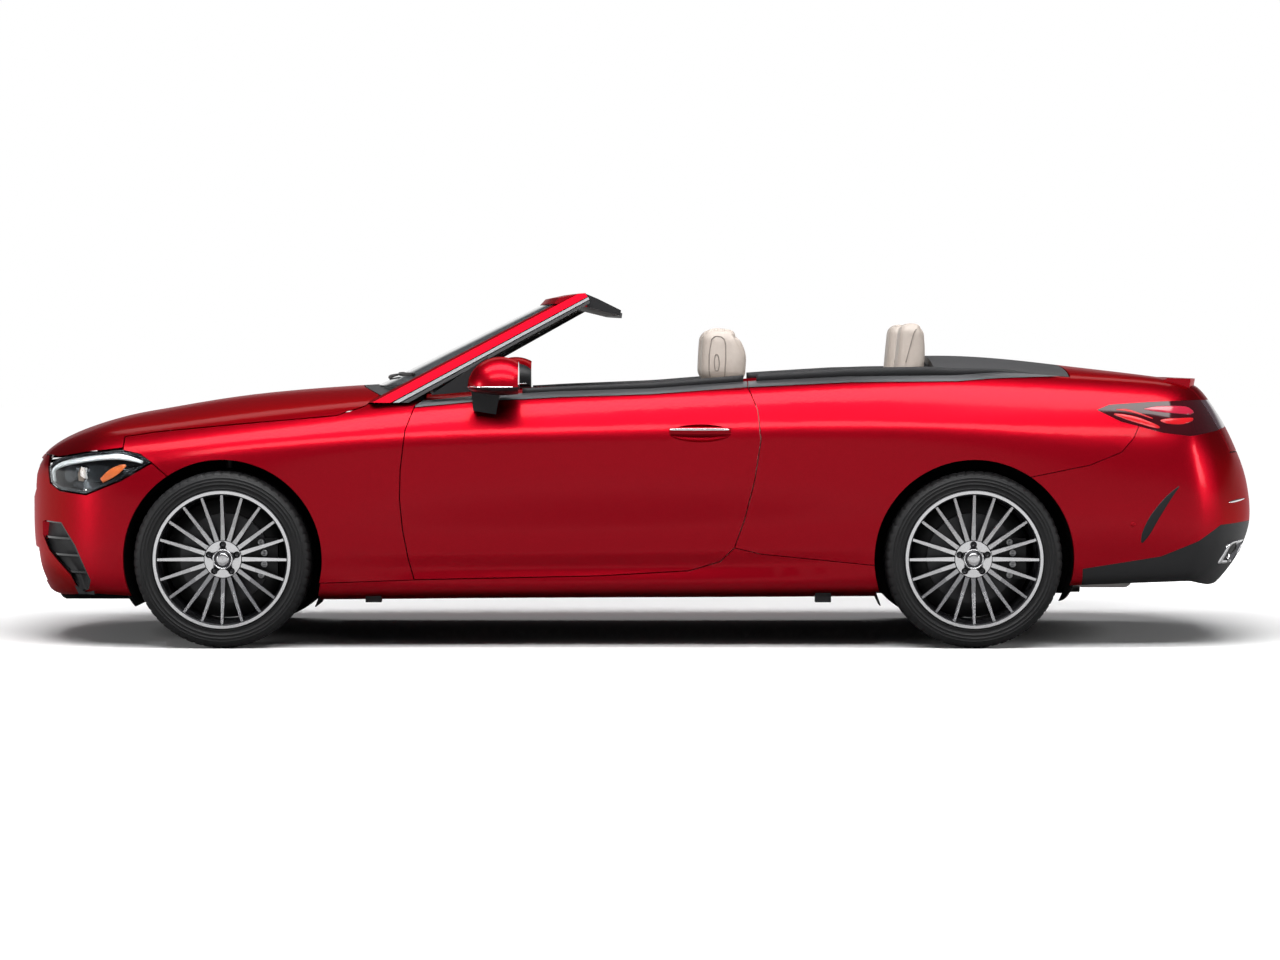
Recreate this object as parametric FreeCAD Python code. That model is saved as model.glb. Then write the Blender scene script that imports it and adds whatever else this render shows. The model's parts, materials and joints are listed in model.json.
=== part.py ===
import FreeCAD, Part
import math
import os
from FreeCAD import Vector

# A four-seat convertible car, roof stowed. +X runs to the rear, +Z up, and the origin is on the ground at
# mid-length on the centreline. The driver's side is at -Y. All sizes are in millimetres.

doc = FreeCAD.newDocument("Convertible")
sheet = doc.addObject("Spreadsheet::Sheet", "Sizes")

SIZES = [
    ("car_length", 4850, "nose to tail"),
    ("half_width", 930, "centreline to the widest point of the arches"),
    ("deck_height", 1060, "top of the rear deck"),
    ("wheelbase", 2865, "front axle to rear axle"),
    ("front_overhang", 833, "nose to front axle"),
    ("tyre_radius", 339.5, "loaded radius of the tyre"),
    ("tyre_width", 245, "section width of the tyre"),
    ("track_half", 797, "centreline to the middle of the tyre"),
    ("rim_radius", 265, "outside of the rim flange"),
    ("barrel_radius", 236, "inside of the rim barrel"),
    ("spoke_count", 20, "spokes of a wheel"),
    ("hub_radius", 76, "hub of the wheel"),
    ("disc_radius", 172, "brake disc"),
    ("arch_radius", 381, "wheel arch opening"),
    ("house_radius", 396, "wheel house inside the skin"),
    ("steer_offset", 60, "steering axis inboard of the tyre's middle"),
    ("skin_wall", 28, "fenders, bonnet, bumpers and lids with their inner frames"),
    ("side_wall", 112, "doors and rear quarters, skin to lining"),
    ("shut_gap", 5, "gap round doors and lids"),
    ("seam_gap", 3, "gap between fixed panels"),
    ("seat_clearance", 0.3, "gap where a fixed piece is seated"),
    ("door_front", -916, "front edge of the door skin"),
    ("door_rear", 461, "rear edge of the door skin"),
    ("door_bottom", 262, "lower edge of the door skin at its front"),
    ("door_card_wall", 34, "inner lining of the door"),
    ("door_inset", 10, "door frame drawn in behind the edge of the skin"),
    ("moulding_wall", 3, "belt mouldings, out from the skin"),
    ("moulding_height", 22, "belt mouldings, bottom to top"),
    ("handle_length", 236, "door handle"),
    ("handle_height", 19, "door handle, bottom to top"),
    ("handle_depth", 26, "hand pocket behind the door handle"),
    ("mirror_length", 194, "mirror shell, front to rear"),
    ("mirror_width", 224, "mirror shell, across"),
    ("mirror_height", 114, "mirror cap above its waist line"),
    ("sill_bottom", 182, "underside of the sills"),
    ("floor_top", 215, "top of the cabin floor"),
    ("floor_wall", 20, "floor panel with its ribs"),
    ("firewall_x", -905, "rear face of the firewall"),
    ("firewall_wall", 30, "thickness of the firewall"),
    ("bulkhead_x", 1120, "front face of the bulkhead behind the rear seats"),
    ("bulkhead_wall", 24, "thickness of that bulkhead"),
    ("tunnel_half", 150, "half width of the tunnel"),
    ("tunnel_top", 320, "top of the tunnel"),
    ("cabin_half", 690, "centreline to the inside of the side walls"),
    ("boot_floor", 480, "top of the boot floor"),
    ("screen_base", -928, "foot of the windscreen at its corners"),
    ("screen_base_height", 1000, "height of that foot"),
    ("screen_top", -331, "front edge of the header at its corners"),
    ("screen_top_height", 1317, "height of that edge"),
    ("screen_half_low", 705, "half width of the glass at its foot"),
    ("screen_half_high", 560, "half width of the glass at its top"),
    ("screen_bow", 120, "how far the glass bows forward"),
    ("pillar_run", 92, "windscreen pillar, front to rear at its foot"),
    ("pillar_trim_run", 34, "bright trim behind the pillar, front to rear at its foot"),
    ("pillar_seal_run", 34, "window seal behind that trim, front to rear at its foot"),
    ("pillar_foot_width", 70, "windscreen pillar across at its foot"),
    ("pillar_top_width", 48, "windscreen pillar across at its top"),
    ("glass_wall", 5, "windscreen glass"),
    ("header_depth", 272, "header, front to rear"),
    ("header_height", 42, "header, bottom to top"),
    ("cover_front", 1135, "front edge of the roof cover"),
    ("cover_rear", 1655, "rear edge of the roof cover"),
    ("cover_half", 700, "half width of the roof cover"),
    ("lid_half", 640, "half width of the boot lid"),
    ("lid_foot", 745, "lower edge of the boot lid at the tail"),
    ("seat_centre", 365, "centreline to the middle of a front seat"),
    ("seat_width", 500, "front seat cushion"),
    ("seat_front", -330, "front edge of the front cushion"),
    ("cushion_length", 500, "front cushion"),
    ("cushion_top", 500, "top of the front cushion"),
    ("cushion_wall", 130, "thickness of a cushion"),
    ("seat_back_height", 600, "front seat back, along its slope"),
    ("seat_back_wall", 120, "thickness of the seat back"),
    ("seat_recline", 17, "seat back from upright, degrees"),
    ("steering_radius", 183, "steering wheel"),
    ("steering_tube", 15, "rim of the steering wheel"),
    ("wheel_tilt", 24, "steering column from level, degrees"),
    ("steering_reach", 490, "firewall to the middle of the steering wheel"),
    ("dash_depth", 370, "dashboard, front to rear"),
    ("lining_wall", 22, "linings beside the rear seats"),
    ("folded_roof_height", 300, "soft top folded in its well"),
    ("pipe_radius", 32, "exhaust pipe"),
    ("engine_length", 620, "engine block"),
    ("engine_width", 560, "engine block"),
    ("engine_height", 500, "engine block"),
    ("liner_wall", 4, "arch liners"),
    ("pad_side", 60, "jacking pads"),
    ("pad_drop", 8, "jacking pads below the sill"),
]
for row, (alias, value, note) in enumerate(SIZES, start=1):
    sheet.set(f"A{row}", note)
    sheet.set(f"B{row}", str(value))
    sheet.setAlias(f"B{row}", alias)
doc.recompute()


def size(alias):
    return float(sheet.get(alias))


nose = -size("car_length") / 2
tail = size("car_length") / 2
front_axle = nose + size("front_overhang")
rear_axle = front_axle + size("wheelbase")
half_width = size("half_width")
deck = size("deck_height")
hub_height = size("tyre_radius")
track = size("track_half")


def add(label, shape):
    # Each sub-part is one object of the document, and its label names its file.
    piece = doc.addObject("Part::Feature", label)
    piece.Label = label
    piece.Shape = shape
    piece.Placement = shape.Placement
    parts.append(piece)
    return piece


parts = []


def box(x0, x1, y0, y1, z0, z1):
    return Part.makeBox(x1 - x0, y1 - y0, z1 - z0, Vector(x0, y0, z0))


def rod(start, end, radius):
    return Part.makeCylinder(radius, (end - start).Length, start, end - start)


def both_sides(shape):
    # The piece at -Y and its mirror image at +Y.
    return Part.Compound([shape, shape.mirror(Vector(0, 0, 0), Vector(0, 1, 0))])


def largest(shape):
    # Only the main solid, where a cut leaves slivers.
    return max(shape.Solids, key=lambda solid: solid.Volume)


def whole(half):
    # A panel that crosses the centreline, from its half at -Y. Its faces are merged only where they have to be.
    joined = half.fuse(half.mirror(Vector(0, 0, 0), Vector(0, 1, 0)))
    return joined if joined.isValid() else joined.removeSplitter()


def refined(shape):
    # Faces that continue one another are merged, where that leaves the solid as it was.
    merged = shape.removeSplitter()
    same = abs(merged.Volume - shape.Volume) < 0.001 * shape.Volume
    return merged if same or not shape.isValid() else shape


def pair(left, right, shape):
    # Two sub-parts that mirror each other.
    add(left, shape)
    add(right, shape.mirror(Vector(0, 0, 0), Vector(0, 1, 0)))


def front_prism(outline, x0, x1):
    # An outline of (y, z) points seen from the front, run back from x0 to x1.
    points = [Vector(x0, y, z) for y, z in outline]
    return Part.Face(Part.makePolygon(points + points[:1])).extrude(Vector(x1 - x0, 0, 0))


def fuse(shapes):
    result = shapes[0]
    for shape in shapes[1:]:
        result = result.fuse(shape)
    return refined(result)


def drawn_in(outline, inset):
    # The outline with each edge moved in by the inset and the corners mitred.
    count = len(outline)
    area = sum(outline[i][0] * outline[(i + 1) % count][1] - outline[(i + 1) % count][0] * outline[i][1]
               for i in range(count))
    turn = 1 if area > 0 else -1
    corners = []
    for i in range(count):
        before, here, after = outline[i - 1], outline[i], outline[(i + 1) % count]
        a = math.atan2(here[1] - before[1], here[0] - before[0])
        b = math.atan2(after[1] - here[1], after[0] - here[0])
        half_turn = (b - a) / 2
        middle = a + half_turn + turn * math.pi / 2
        if math.cos(half_turn) < 0:
            middle += math.pi
        reach = inset / max(abs(math.cos(half_turn)), 0.3)
        corners.append((here[0] + reach * math.cos(middle), here[1] + reach * math.sin(middle)))
    return corners


def side_prism(outline, y0, y1, inset=0.0):
    # A side-view outline of (x, z) points, drawn in by the inset and run across the car from y0 to y1.
    points = [Vector(x, y0, z) for x, z in drawn_in(outline, inset)]
    return Part.Face(Part.makePolygon(points + points[:1])).extrude(Vector(0, y1 - y0, 0))


# The body surface. Its poles lie on twelve rings that run from the nose round the side to the tail, from the
# skirt up to the middle of the deck, and are placed at nine stations between the corners. A ring gives its
# half widths in thousandths of the car's half width and its heights in thousandths of the deck height.

STATIONS = [
    front_axle - 310, front_axle, front_axle + 400, front_axle + 735, front_axle + 1340,
    rear_axle - 840, rear_axle - 410, rear_axle, rear_axle + 430,
]
RINGS = [
    ("skirt", (914, 946, 952, 938, 933, 938, 952, 957, 925), (156, 156, 160, 168, 170, 172, 175, 179, 203)),
    ("sill", (952, 989, 984, 972, 967, 972, 985, 995, 962), (226, 226, 228, 232, 238, 244, 248, 250, 270)),
    ("sill_top", (955, 992, 984, 948, 936, 942, 975, 997, 966), (290, 290, 288, 284, 289, 298, 305, 310, 320)),
    ("crease", (960, 997, 988, 966, 960, 966, 985, 1001, 975), (345, 345, 340, 331, 337, 347, 357, 362, 372)),
    ("tuck", (962, 999, 987, 953, 943, 947, 973, 1001, 984), (425, 425, 420, 405, 414, 434, 448, 452, 440)),
    ("flank", (960, 1000, 987, 971, 968, 971, 984, 1002, 987), (528, 528, 528, 538, 547, 557, 566, 566, 538)),
    ("shoulder", (944, 984, 981, 974, 973, 974, 981, 995, 973), (642, 679, 698, 712, 726, 741, 750, 750, 698)),
    ("edge", (928, 972, 975, 970, 968, 969, 975, 985, 955), (684, 722, 745, 764, 780, 795, 804, 804, 770)),
    ("upper", (894, 938, 943, 938, 936, 937, 940, 943, 915), (730, 766, 790, 811, 828, 842, 852, 852, 838)),
    ("belt", (801, 849, 866, 860, 855, 855, 855, 839, 801), (788, 823, 854, 896, 929, 958, 976, 991, 976)),
    ("top", (645, 667, 667, 667, 667, 667, 656, 645, 624), (819, 866, 908, 934, 943, 962, 1004, 1030, 996)),
    ("spine", (290, 290, 290, 290, 290, 290, 290, 290, 290), (854, 908, 939, 955, 958, 990, 1042, 1064, 1015)),
]
# How far the skin is drawn in across and down at each ring, for one unit of wall.
RING_NORMALS = [(1, 0), (1, 0), (1, 0), (1, 0), (1, 0), (1, 0), (1, 0.15), (0.9, 0.45), (0.7, 0.75), (0.35, 1),
                (0, 1), (0, 1)]
NOSE_STEPS = (0.08, 0.3, 0.55, 0.75, 0.88, 0.96)
TAIL_STEPS = (0.97, 0.93, 0.895, 0.86, 0.75, 0.55, 0.3, 0.08)
END_CENTRE = 0.51 * deck
NOSE_DEPTH = 0.116 * size("car_length")
TAIL_DEPTH = 0.138 * size("car_length")


def superellipse(share, depth, power):
    return depth * (1 - (1 - min(abs(share), 1.0) ** power) ** (1 / power))


def nose_lean(z):
    # The bonnet's front slopes back above the grille, and the chin goes back below it.
    if z > 0.604 * deck:
        return 0.484 * deck * ((z - 0.604 * deck) / (0.255 * deck)) ** 2.6
    if z < 0.472 * deck:
        return 0.066 * deck * ((0.472 * deck - z) / (0.33 * deck)) ** 3.2
    return 0.0


def tail_lean(z):
    # The boot lid leans forward from the bumper to the lip, and the deck begins above the lip.
    lip = 0.203 * deck
    if z > 0.953 * deck:
        return lip + 0.478 * deck * ((z - 0.953 * deck) / (0.061 * deck)) ** 1.2
    if z > 0.49 * deck:
        return lip * ((z - 0.49 * deck) / (0.463 * deck)) ** 1.8
    if z < 0.443 * deck:
        return 0.189 * deck * ((0.443 * deck - z) / (0.34 * deck)) ** 1.5
    return 0.0


def section(index, side, top):
    x = STATIONS[index]
    # A drawn-in body also runs past the centreline and below the skirt, so that it opens the skin there.
    across_centre = -max(side, 0.0)
    below = 1.5 * abs(top)
    foot = RINGS[0][2][index] * deck / 1000 - 0.014 * deck - below
    points = [Vector(x, across_centre, foot), Vector(x, 0.5 * half_width, foot)]
    for (name, widths, heights), (across, down) in zip(RINGS, RING_NORMALS):
        y = widths[index] * half_width / 1000 - across * side
        z = heights[index] * deck / 1000 - down * top
        points.append(Vector(x, y, z - below if name == "skirt" else z))
    points.append(Vector(x, across_centre, points[-1].z))
    return points


def end_ring(index, share, side, top, at_nose):
    wall = min(side, top)
    ring = []
    for point in section(index, side, top):
        y = point.y * share if point.y > 0 else point.y
        z = END_CENTRE + (point.z - END_CENTRE) * share
        if at_nose:
            x = nose + wall + superellipse(y / (0.973 * half_width), NOSE_DEPTH, 2.3) + nose_lean(z)
        else:
            x = tail - wall - superellipse(y / (1.005 * half_width), TAIL_DEPTH, 3.0) - tail_lean(z)
        ring.append(Vector(x, y, z))
    return ring


def knots(count):
    spans = count - 3
    return [float(k) for k in range(spans + 1)], [4] + [1] * (spans - 1) + [4]


def half_body(side=0.0, top=0.0):
    # The closed half body at +Y, with its skin drawn in by these walls.
    last = len(STATIONS) - 1
    net = [end_ring(0, share, side, top, True) for share in NOSE_STEPS]
    net += [section(index, side, top) for index in range(len(STATIONS))]
    net += [end_ring(last, share, side, top, False) for share in TAIL_STEPS]
    net[0] = [Vector(net[0][5].x, p.y, p.z) for p in net[0]]
    net[-1] = [Vector(net[-1][5].x, p.y, p.z) for p in net[-1]]
    u_knots, u_mults = knots(len(net))
    v_knots, v_mults = knots(len(net[0]))
    patch = Part.BSplineSurface()
    patch.buildFromPolesMultsKnots(net, u_mults, v_mults, u_knots, v_knots, False, False, 3, 3)
    u_end, v_end = u_knots[-1], v_knots[-1]
    foot, spine = Part.Edge(patch.vIso(0.0)), Part.Edge(patch.vIso(v_end))
    nose_edge, tail_edge = Part.Edge(patch.uIso(0.0)), Part.Edge(patch.uIso(u_end))
    nose_line = Part.makeLine(net[0][0], net[0][-1])
    tail_line = Part.makeLine(net[-1][0], net[-1][-1])
    faces = [
        patch.toShape(),
        Part.Face(Part.Wire([nose_edge, nose_line])),
        Part.Face(Part.Wire([tail_edge, tail_line])),
        Part.Face(Part.Wire(Part.__sortEdges__([foot, spine, nose_line, tail_line]))),
    ]
    shell = Part.Shell(faces)
    shell.sewShape()
    solid = Part.Solid(shell)
    if solid.Volume < 0:
        solid.reverse()
    return solid.mirror(Vector(0, 0, 0), Vector(0, 1, 0))


def skin(side, top, outset=0.0):
    # The skin of the half body at -Y, from its outside, or an outset from it, in by these walls.
    return half_body(-outset, -outset).cut(half_body(side, top))


outer = half_body()
wall = size("skin_wall")
thin_skin = outer.cut(half_body(wall, wall))
thick_skin = outer.cut(half_body(size("side_wall"), wall))
clear = size("seat_clearance")
inside_thin = half_body(wall + clear, wall + clear)
grown = half_body(-clear, -clear)
shut = size("shut_gap") / 2
seam = size("seam_gap") / 2
wide = half_width + 200
sky = 1.4 * deck


# Outlines seen from the side. The front ones are in shares of the length from the nose to the door and of
# the deck height, the door's in shares of its own length, the rear ones in shares of the length from the
# door to the tail.

def placed(outline, start, end):
    return [(start + along * (end - start), up * deck) for along, up in outline]


door_front = size("door_front")
door_rear = size("door_rear")
door_foot = size("door_bottom") / deck

BONNET_LINE = [(0.297, 0.7595), (0.378, 0.777), (0.595, 0.8066), (0.836, 0.836), (0.909, 0.871), (0.968, 0.936)]
LAMP_TOP = [(-0.05, 0.692), (0.083, 0.689), (0.117, 0.684), (0.201, 0.704), (0.297, 0.720)]
FENDER_NOSE = [(0.371, 0.671), (0.342, 0.699), (0.297, 0.712)]
DOOR_FRONT_EDGE = [(0.067, 0.900), (0.040, 0.8745), (0.015, 0.786), (0.002, 0.642), (0.0, 0.535), (0.008, 0.427),
                   (0.024, 0.320), (0.040, door_foot)]
DOOR_FOOT = [(0.555, door_foot + 0.014), (0.803, door_foot + 0.032), (0.887, door_foot + 0.065),
             (0.927, door_foot + 0.115)]
DOOR_REAR_EDGE = [(0.955, 0.463), (0.983, 0.607), (1.0, 0.75), (0.992, 0.8575), (0.966, 0.94)]
SKY = 1.4

bonnet_outline = placed(LAMP_TOP + BONNET_LINE + [(0.968, SKY), (-0.05, SKY)], nose, door_front)
headlamp_outline = placed([(0.089, 0.649), (0.117, 0.679), (0.201, 0.699), (0.297, 0.7125), (0.342, 0.695),
                           (0.371, 0.671), (0.292, 0.608), (0.202, 0.556), (0.128, 0.567), (0.097, 0.592)],
                          nose, door_front)
door_outline = placed(DOOR_FRONT_EDGE + DOOR_FOOT + DOOR_REAR_EDGE + [(0.966, SKY), (0.067, SKY)],
                      door_front, door_rear)
door_front_line = placed(DOOR_FRONT_EDGE, door_front, door_rear)
door_foot_line = placed(DOOR_FOOT, door_front, door_rear)
door_rear_line = placed(DOOR_REAR_EDGE, door_front, door_rear)
fender_outline = (placed([(0.43, 0.60)] + FENDER_NOSE + BONNET_LINE + [(0.968, SKY)], nose, door_front)
                  + [(door_front_line[0][0], SKY * deck)] + door_front_line
                  + placed([(0.80, 0.236), (0.62, 0.236)], nose, door_front))
bumper_outline = placed([(-0.05, 0.69), (0.083, 0.687), (0.086, 0.649), (0.094, 0.588), (0.126, 0.562),
                         (0.202, 0.550), (0.294, 0.602), (0.373, 0.666), (0.43, 0.60), (0.43, 0.1), (-0.05, 0.1)],
                        nose, door_front)
LAMP_SEAM = [(0.524, 0.618), (0.637, 0.660), (0.699, 0.706), (0.7235, 0.756), (0.735, 0.7997)]
LAMP_NOSE = [(0.700, 0.817), (0.656, 0.8575)]
TAIL_LAMP_TOP = [(0.680, 0.8755), (0.761, 0.885), (0.852, 0.8906), (0.99, 0.8936)]
TAIL_LAMP_FOOT = [(0.782, 0.7764), (0.837, 0.764), (0.872, 0.7736), (0.96, 0.800), (0.99, 0.81)]
quarter_outline = ([(door_rear_line[-1][0], SKY * deck)] + door_rear_line[::-1] + [door_foot_line[-1]]
                   + placed([(0.0, 0.34), (0.30, 0.285)], door_rear, tail)
                   + placed(LAMP_SEAM + LAMP_NOSE + TAIL_LAMP_TOP + [(0.99, SKY)], door_rear, tail))
tail_lamp_outline = placed(LAMP_SEAM[-1:] + LAMP_NOSE + TAIL_LAMP_TOP + TAIL_LAMP_FOOT[::-1], door_rear, tail)
rear_bumper_outline = placed([(0.5, 0.55)] + LAMP_SEAM + TAIL_LAMP_FOOT + [(1.05, 0.81), (1.05, 0.1), (0.5, 0.1)],
                             door_rear, tail)
sill_outline = ([(front_axle + 0.9 * size("arch_radius"), 0.1 * deck)]
                + placed([(0.80, 0.236)], nose, door_front)
                + [door_front_line[-1]] + door_foot_line
                + placed([(0.0, 0.34), (0.30, 0.285), (0.31, 0.1)], door_rear, tail))

inside_skin = half_body(wall, wall)
inner_wall = track - size("steer_offset") - 268
rear_inner_wall = 0.66 * half_width


def wheel_arch(axle_x, inner_y):
    # What the wheel arch takes from the side: the opening in the skin and the wider house behind it.
    opening = rod(Vector(axle_x, -wide, hub_height), Vector(axle_x, -inner_y, hub_height), size("arch_radius"))
    house = rod(Vector(axle_x, -wide, hub_height), Vector(axle_x, -inner_y - 0.1, hub_height), size("house_radius"))
    return opening.fuse(house.common(inside_skin))


front_arch = wheel_arch(front_axle, inner_wall)
rear_arch = wheel_arch(rear_axle, rear_inner_wall)
cabin_half = size("cabin_half")
cover_front = size("cover_front")
cabin_opening = box(size("screen_base"), cover_front, -cabin_half, 10, 0.25 * deck, sky)


GRILLE = [(-0.50 * half_width, 0.672 * deck), (-0.46 * half_width, 0.56 * deck), (-0.36 * half_width, 0.53 * deck),
          (0.01 * half_width, 0.525 * deck), (0.01 * half_width, 0.68 * deck)]
INTAKE = [(-0.50 * half_width, 0.345 * deck), (-0.44 * half_width, 0.22 * deck), (0.01 * half_width, 0.20 * deck),
          (0.01 * half_width, 0.345 * deck)]
SIDE_INTAKE = [(0.048, 0.440), (0.077, 0.451), (0.130, 0.448), (0.171, 0.368), (0.213, 0.243), (0.207, 0.208),
               (0.180, 0.195), (0.155, 0.258), (0.089, 0.343)]
DIFFUSER = [(0.55, 0.2104), (0.624, 0.2104), (0.6242, 0.287), (0.777, 0.331), (0.851, 0.385), (0.898, 0.442),
            (0.948, 0.447), (1.05, 0.447), (1.05, 0.10), (0.55, 0.10)]


# The bonnet's rear edge and the windscreen's foot are arcs in plan, bowed forward at the centre.

def bow(corner_x, corner_half, depth):
    radius = (corner_half ** 2 + depth ** 2) / (2 * depth)
    return corner_x - depth + radius, radius


cowl_gap = 55
bonnet_bow_x, bonnet_bow_radius = bow(size("screen_base") - cowl_gap, size("screen_half_low"), size("screen_bow"))
behind_bonnet = rod(Vector(bonnet_bow_x, 0, 0.3 * deck), Vector(bonnet_bow_x, 0, sky), bonnet_bow_radius)
behind_bonnet_gap = rod(Vector(bonnet_bow_x, 0, 0.3 * deck), Vector(bonnet_bow_x, 0, sky), bonnet_bow_radius + 2 * shut)

# Bonnet, in one panel with its inner frame.
bonnet_half = thin_skin.common(side_prism(bonnet_outline, -wide, 0, shut)).cut(behind_bonnet_gap)
bonnet_half = bonnet_half.common(box(nose - 50, size("screen_base"), -wide, 0, 0.3 * deck, sky))
add("bonnet", whole(bonnet_half))

# Front wings, from the headlamps to the doors.
fender = thin_skin.common(side_prism(fender_outline, -wide, -0.3 * half_width, seam)).cut(front_arch)
cowl_half = size("screen_half_low") + size("pillar_foot_width") - 10
fender = fender.cut(box(front_axle, door_rear, -cowl_half, 0, 0.8 * deck, sky))
add("front_wings", both_sides(fender))

# Cowl panel between the bonnet and the windscreen.
cowl = thin_skin.common(behind_bonnet)
cowl = cowl.common(box(front_axle, size("screen_base") + 60, seam - cowl_half, 0, 0.8 * deck, sky))
add("cowl", whole(cowl))

# Doors. The skin closes on the shut line, and the frame behind it is drawn in so that it swings past the post.
between_walls = half_body(wall, wall).cut(half_body(size("side_wall"), wall + 1))
door_skin = thin_skin.common(side_prism(door_outline, -wide, -0.3 * half_width, shut))
door_frame = between_walls.common(side_prism(door_outline, -wide, -0.3 * half_width, shut + size("door_inset")))
door = door_skin.fuse(door_frame).cut(cabin_opening)
window_slot = box(door_front + 130, door_rear - 60, -0.845 * half_width - 8, -0.845 * half_width + 8,
                  0.6 * deck, sky)
door = door.cut(window_slot)


def skin_y(x, z):
    # Where the side of the body stands at this station and height.
    line = Part.makeLine(Vector(x, -wide, z), Vector(x, -0.5 * half_width, z)).common(outer)
    return min(vertex.Y for vertex in line.Vertexes)


handle_x = door_front + 0.832 * (door_rear - door_front)
handle_z = 0.787 * deck
handle_half = size("handle_length") / 2
handle_y = skin_y(handle_x, handle_z)
pocket_shape = FreeCAD.Matrix()
pocket_shape.scale(Vector(handle_half + 3, size("handle_depth"), 0.3 * handle_half))
pocket = Part.makeSphere(1.0).transformGeometry(pocket_shape)
pocket.translate(Vector(handle_x, handle_y + 2, handle_z - 14))
handle = box(handle_x - handle_half, handle_x + handle_half, handle_y - 4, handle_y + 11,
             handle_z - size("handle_height") / 2, handle_z + size("handle_height") / 2)
handle = handle.makeFillet(4, handle.Edges)
door = largest(door.cut(pocket).fuse(handle))
pair("door_left", "door_right", door)

# Door linings, with an armrest.
firewall_x = size("firewall_x")
lining_x0, lining_x1 = door_front + 90, door_rear - 90
lining_y = -cabin_half + clear
lining = side_prism(door_outline, lining_y, lining_y + 0.5 * size("door_card_wall"), 45)
lining = lining.common(box(lining_x0, door_rear, -wide, 0, 0.30 * deck, 0.885 * deck))
armrest_x0 = firewall_x + size("dash_depth") + 20
armrest = side_prism([(armrest_x0 + 90, 0.58 * deck), (lining_x1 - 60, 0.60 * deck), (lining_x1 - 60, 0.66 * deck),
                      (armrest_x0, 0.67 * deck)], lining_y, lining_y + 2 * size("door_card_wall"))
pair("door_lining_left", "door_lining_right", refined(lining.fuse(armrest)))

# Door mirrors: a shell on a foot, with the sail that fills the corner of the window.
mirror_x = door_front + 0.281 * (door_rear - door_front)
mirror_z = 0.941 * deck
mirror_front = 0.65 * size("mirror_length")
mirror_y = -half_width + 0.2 * size("mirror_width") / 2


def dome(height, x, z):
    # A full ellipsoid under or over the mirror's waist line.
    stretch = FreeCAD.Matrix()
    stretch.scale(Vector(mirror_front, size("mirror_width") / 2, height))
    ball = Part.makeSphere(1.0).transformGeometry(stretch)
    ball.translate(Vector(x, mirror_y, z))
    return ball


cap = dome(size("mirror_height"), mirror_x, mirror_z).common(box(-5000, 5000, -2 * wide, 0, mirror_z, sky))
bowl = dome(0.28 * size("mirror_height"), mirror_x, mirror_z).common(box(-5000, 5000, -2 * wide, 0, 0, mirror_z))
shell = cap.fuse(bowl).cut(box(mirror_x + 0.35 * size("mirror_length"), mirror_x + 500, -2 * wide, 0, 0, sky))
mirror_foot = side_prism([(mirror_x - 106, 0.855 * deck), (mirror_x - 20, 0.842 * deck), (mirror_x - 4, 0.928 * deck),
                          (mirror_x - 114, 0.928 * deck)], -0.945 * half_width, -0.855 * half_width)
sail = side_prism([(door_front + 112, 0.91 * deck), (door_front + 345, 0.93 * deck), (door_front + 335, 1.05 * deck)],
                  -0.855 * half_width, -0.838 * half_width)
strip_proud = clear + size("moulding_wall")
mirror = shell.fuse(mirror_foot).fuse(sail).cut(half_body(-strip_proud - clear, -strip_proud - clear))
pair("mirror_left", "mirror_right", largest(mirror))

# Belt mouldings, thin strips laid along the skin below the windows.
MOULDING_RUN = [(0.008, 0.865), (0.015, 0.867), (0.079, 0.886), (0.183, 0.904), (0.2855, 0.914), (0.398, 0.9396),
                (0.515, 0.9575), (0.6375, 0.9613), (0.687, 0.9726), (0.7566, 0.979), (0.774, 0.997)]
strip_layer = half_body(-strip_proud, -strip_proud).cut(grown)
strip_height = size("moulding_height") / deck
strip_run = MOULDING_RUN + [(along, up + strip_height) for along, up in MOULDING_RUN[::-1]]
strip = strip_layer.common(side_prism(placed(strip_run, door_front, tail), -wide, -0.76 * half_width))
door_span = side_prism(door_outline, -wide, 0, shut)
behind_door = box(door_rear_line[-1][0] + seam, tail, -wide, 0, 0, sky)
pair("door_moulding_left", "door_moulding_right", largest(strip.common(door_span)))
add("quarter_mouldings", both_sides(largest(strip.common(behind_door))))

# Rear quarters, sills and bumpers.
lid_half = size("lid_half")
cover_rear = size("cover_rear")
lid_foot = size("lid_foot")
cover_box = box(cover_front - 10, cover_rear, -size("cover_half"), 10, 0.6 * deck, sky)
quarter = thick_skin.common(side_prism(quarter_outline, -wide, 0, seam)).cut(rear_arch).cut(cabin_opening)
quarter = quarter.cut(box(cover_front - 10, cover_rear + shut, -size("cover_half") - shut, 10, 0.6 * deck, sky))
quarter = quarter.cut(box(cover_rear, tail + 50, -lid_half - shut, 10, lid_foot - 2 * shut, sky))
add("rear_quarters", both_sides(largest(quarter)))
sill = thick_skin.common(side_prism(sill_outline, -wide, 0, seam)).cut(rear_arch).cut(front_arch)
sill = sill.common(box(front_axle, rear_axle, -wide, -cabin_half, size("sill_bottom"), sky))
door_buffer = thick_skin.common(box(-0.11 * size("car_length"), -0.10 * size("car_length"), -0.9 * half_width,
                                    -0.85 * half_width, door_foot * deck - 30, door_foot * deck + 40))
door_buffer = door_buffer.cut(side_prism(door_outline, -wide, 0, shut + size("door_inset") - clear))
pad_side = size("pad_side")
jack_pads = [box(x - pad_side / 2, x + pad_side / 2, -0.92 * half_width, -0.92 * half_width + pad_side,
                 size("sill_bottom") - size("pad_drop"), size("sill_bottom") + 0.5 * pad_side)
             for x in (front_axle + 0.2 * size("wheelbase"), rear_axle - 0.2 * size("wheelbase"))]
add("sills", both_sides(largest(fuse([sill, door_buffer] + jack_pads))))

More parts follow.
